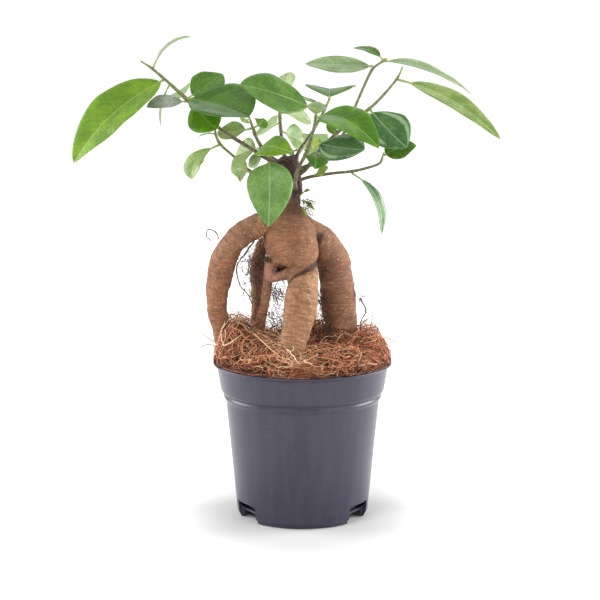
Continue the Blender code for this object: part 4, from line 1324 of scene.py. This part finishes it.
class FIG_OT_stage(bpy.types.Operator):
    """Set the pale floor, the soft lights and the camera"""
    bl_idname = "fig.stage"
    bl_label = "Stage"

    def execute(self, context):
        stage = context.scene.fig_stage
        bpy.ops.mesh.primitive_grid_add(x_subdivisions=8, y_subdivisions=8, size=FLOOR_SIZE)
        floor = context.object
        floor.name = "floor"
        floor.location.z = -FLOOR_GAP
        floor.data.materials.append(floor_finish(stage))
        middle = (CAD_BOX[0] + CAD_BOX[1]) / 2
        for name, (place, size, share) in LIGHTS.items():
            light = bpy.data.lights.new(name, "AREA")
            light.size = size
            light.energy = share * stage.key
            lamp = bpy.data.objects.new(name, light)
            context.scene.collection.objects.link(lamp)
            lamp.location = place
            lamp.rotation_euler = (middle - lamp.location).to_track_quat("-Z", "Y").to_euler()
        world = bpy.data.worlds.new("studio")
        world.use_nodes = True
        background = world.node_tree.nodes["Background"]
        background.inputs["Color"].default_value = (1.0, 1.0, 1.0, 1.0)
        background.inputs["Strength"].default_value = stage.sky
        context.scene.world = world
        context.scene.view_settings.view_transform = "Standard"
        camera = bpy.data.objects.new("camera", bpy.data.cameras.new("camera"))
        context.scene.collection.objects.link(camera)
        camera.data.lens = LENS
        camera.data.shift_x = SHIFT
        camera.location = CAMERA
        aim = Vector(AIM) - camera.location
        camera.rotation_euler = aim.to_track_quat("-Z", "Y").to_euler()
        context.scene.camera = camera
        return {"FINISHED"}


class FIG_PT_panel(bpy.types.Panel):
    """The sizes and colours of each group of pieces, and the buttons that make them"""
    bl_idname = "FIG_PT_panel"
    bl_label = "Potted ginseng fig"
    bl_space_type = "VIEW_3D"
    bl_region_type = "UI"
    bl_category = "Fig"

    def draw(self, context):
        for group, operator in GROUPS:
            box = self.layout.box()
            if group:
                settings = getattr(context.scene, group)
                for key in settings.__annotations__:
                    box.prop(settings, key)
            box.operator(operator.bl_idname)


SETTINGS = {"fig_pot": FigPot, "fig_fibre": FigFibre, "fig_roots": FigRoots, "fig_leaves": FigLeaves,
            "fig_stage": FigStage}
GROUPS = (("fig_pot", FIG_OT_pot), ("fig_fibre", FIG_OT_fibre), ("fig_roots", FIG_OT_roots),
          ("", FIG_OT_shoots), ("fig_leaves", FIG_OT_leaves), ("", FIG_OT_rootlets),
          ("fig_stage", FIG_OT_stage))


def register():
    for kind in (*SETTINGS.values(), *(operator for _, operator in GROUPS), FIG_PT_panel):
        bpy.utils.register_class(kind)
    for key, kind in SETTINGS.items():
        setattr(bpy.types.Scene, key, PointerProperty(type=kind))


def unregister():
    for key in SETTINGS:
        delattr(bpy.types.Scene, key)
    for kind in (FIG_PT_panel, *(operator for _, operator in reversed(GROUPS)), *SETTINGS.values()):
        bpy.utils.unregister_class(kind)


def main():
    register()
    bpy.ops.fig.pot()
    bpy.ops.fig.fibre()
    bpy.ops.fig.roots()
    bpy.ops.fig.shoots()
    bpy.ops.fig.leaves()
    bpy.ops.fig.rootlets()
    bpy.ops.fig.stage()
    bpy.context.view_layer.update()


if __name__ == "__main__":
    main()
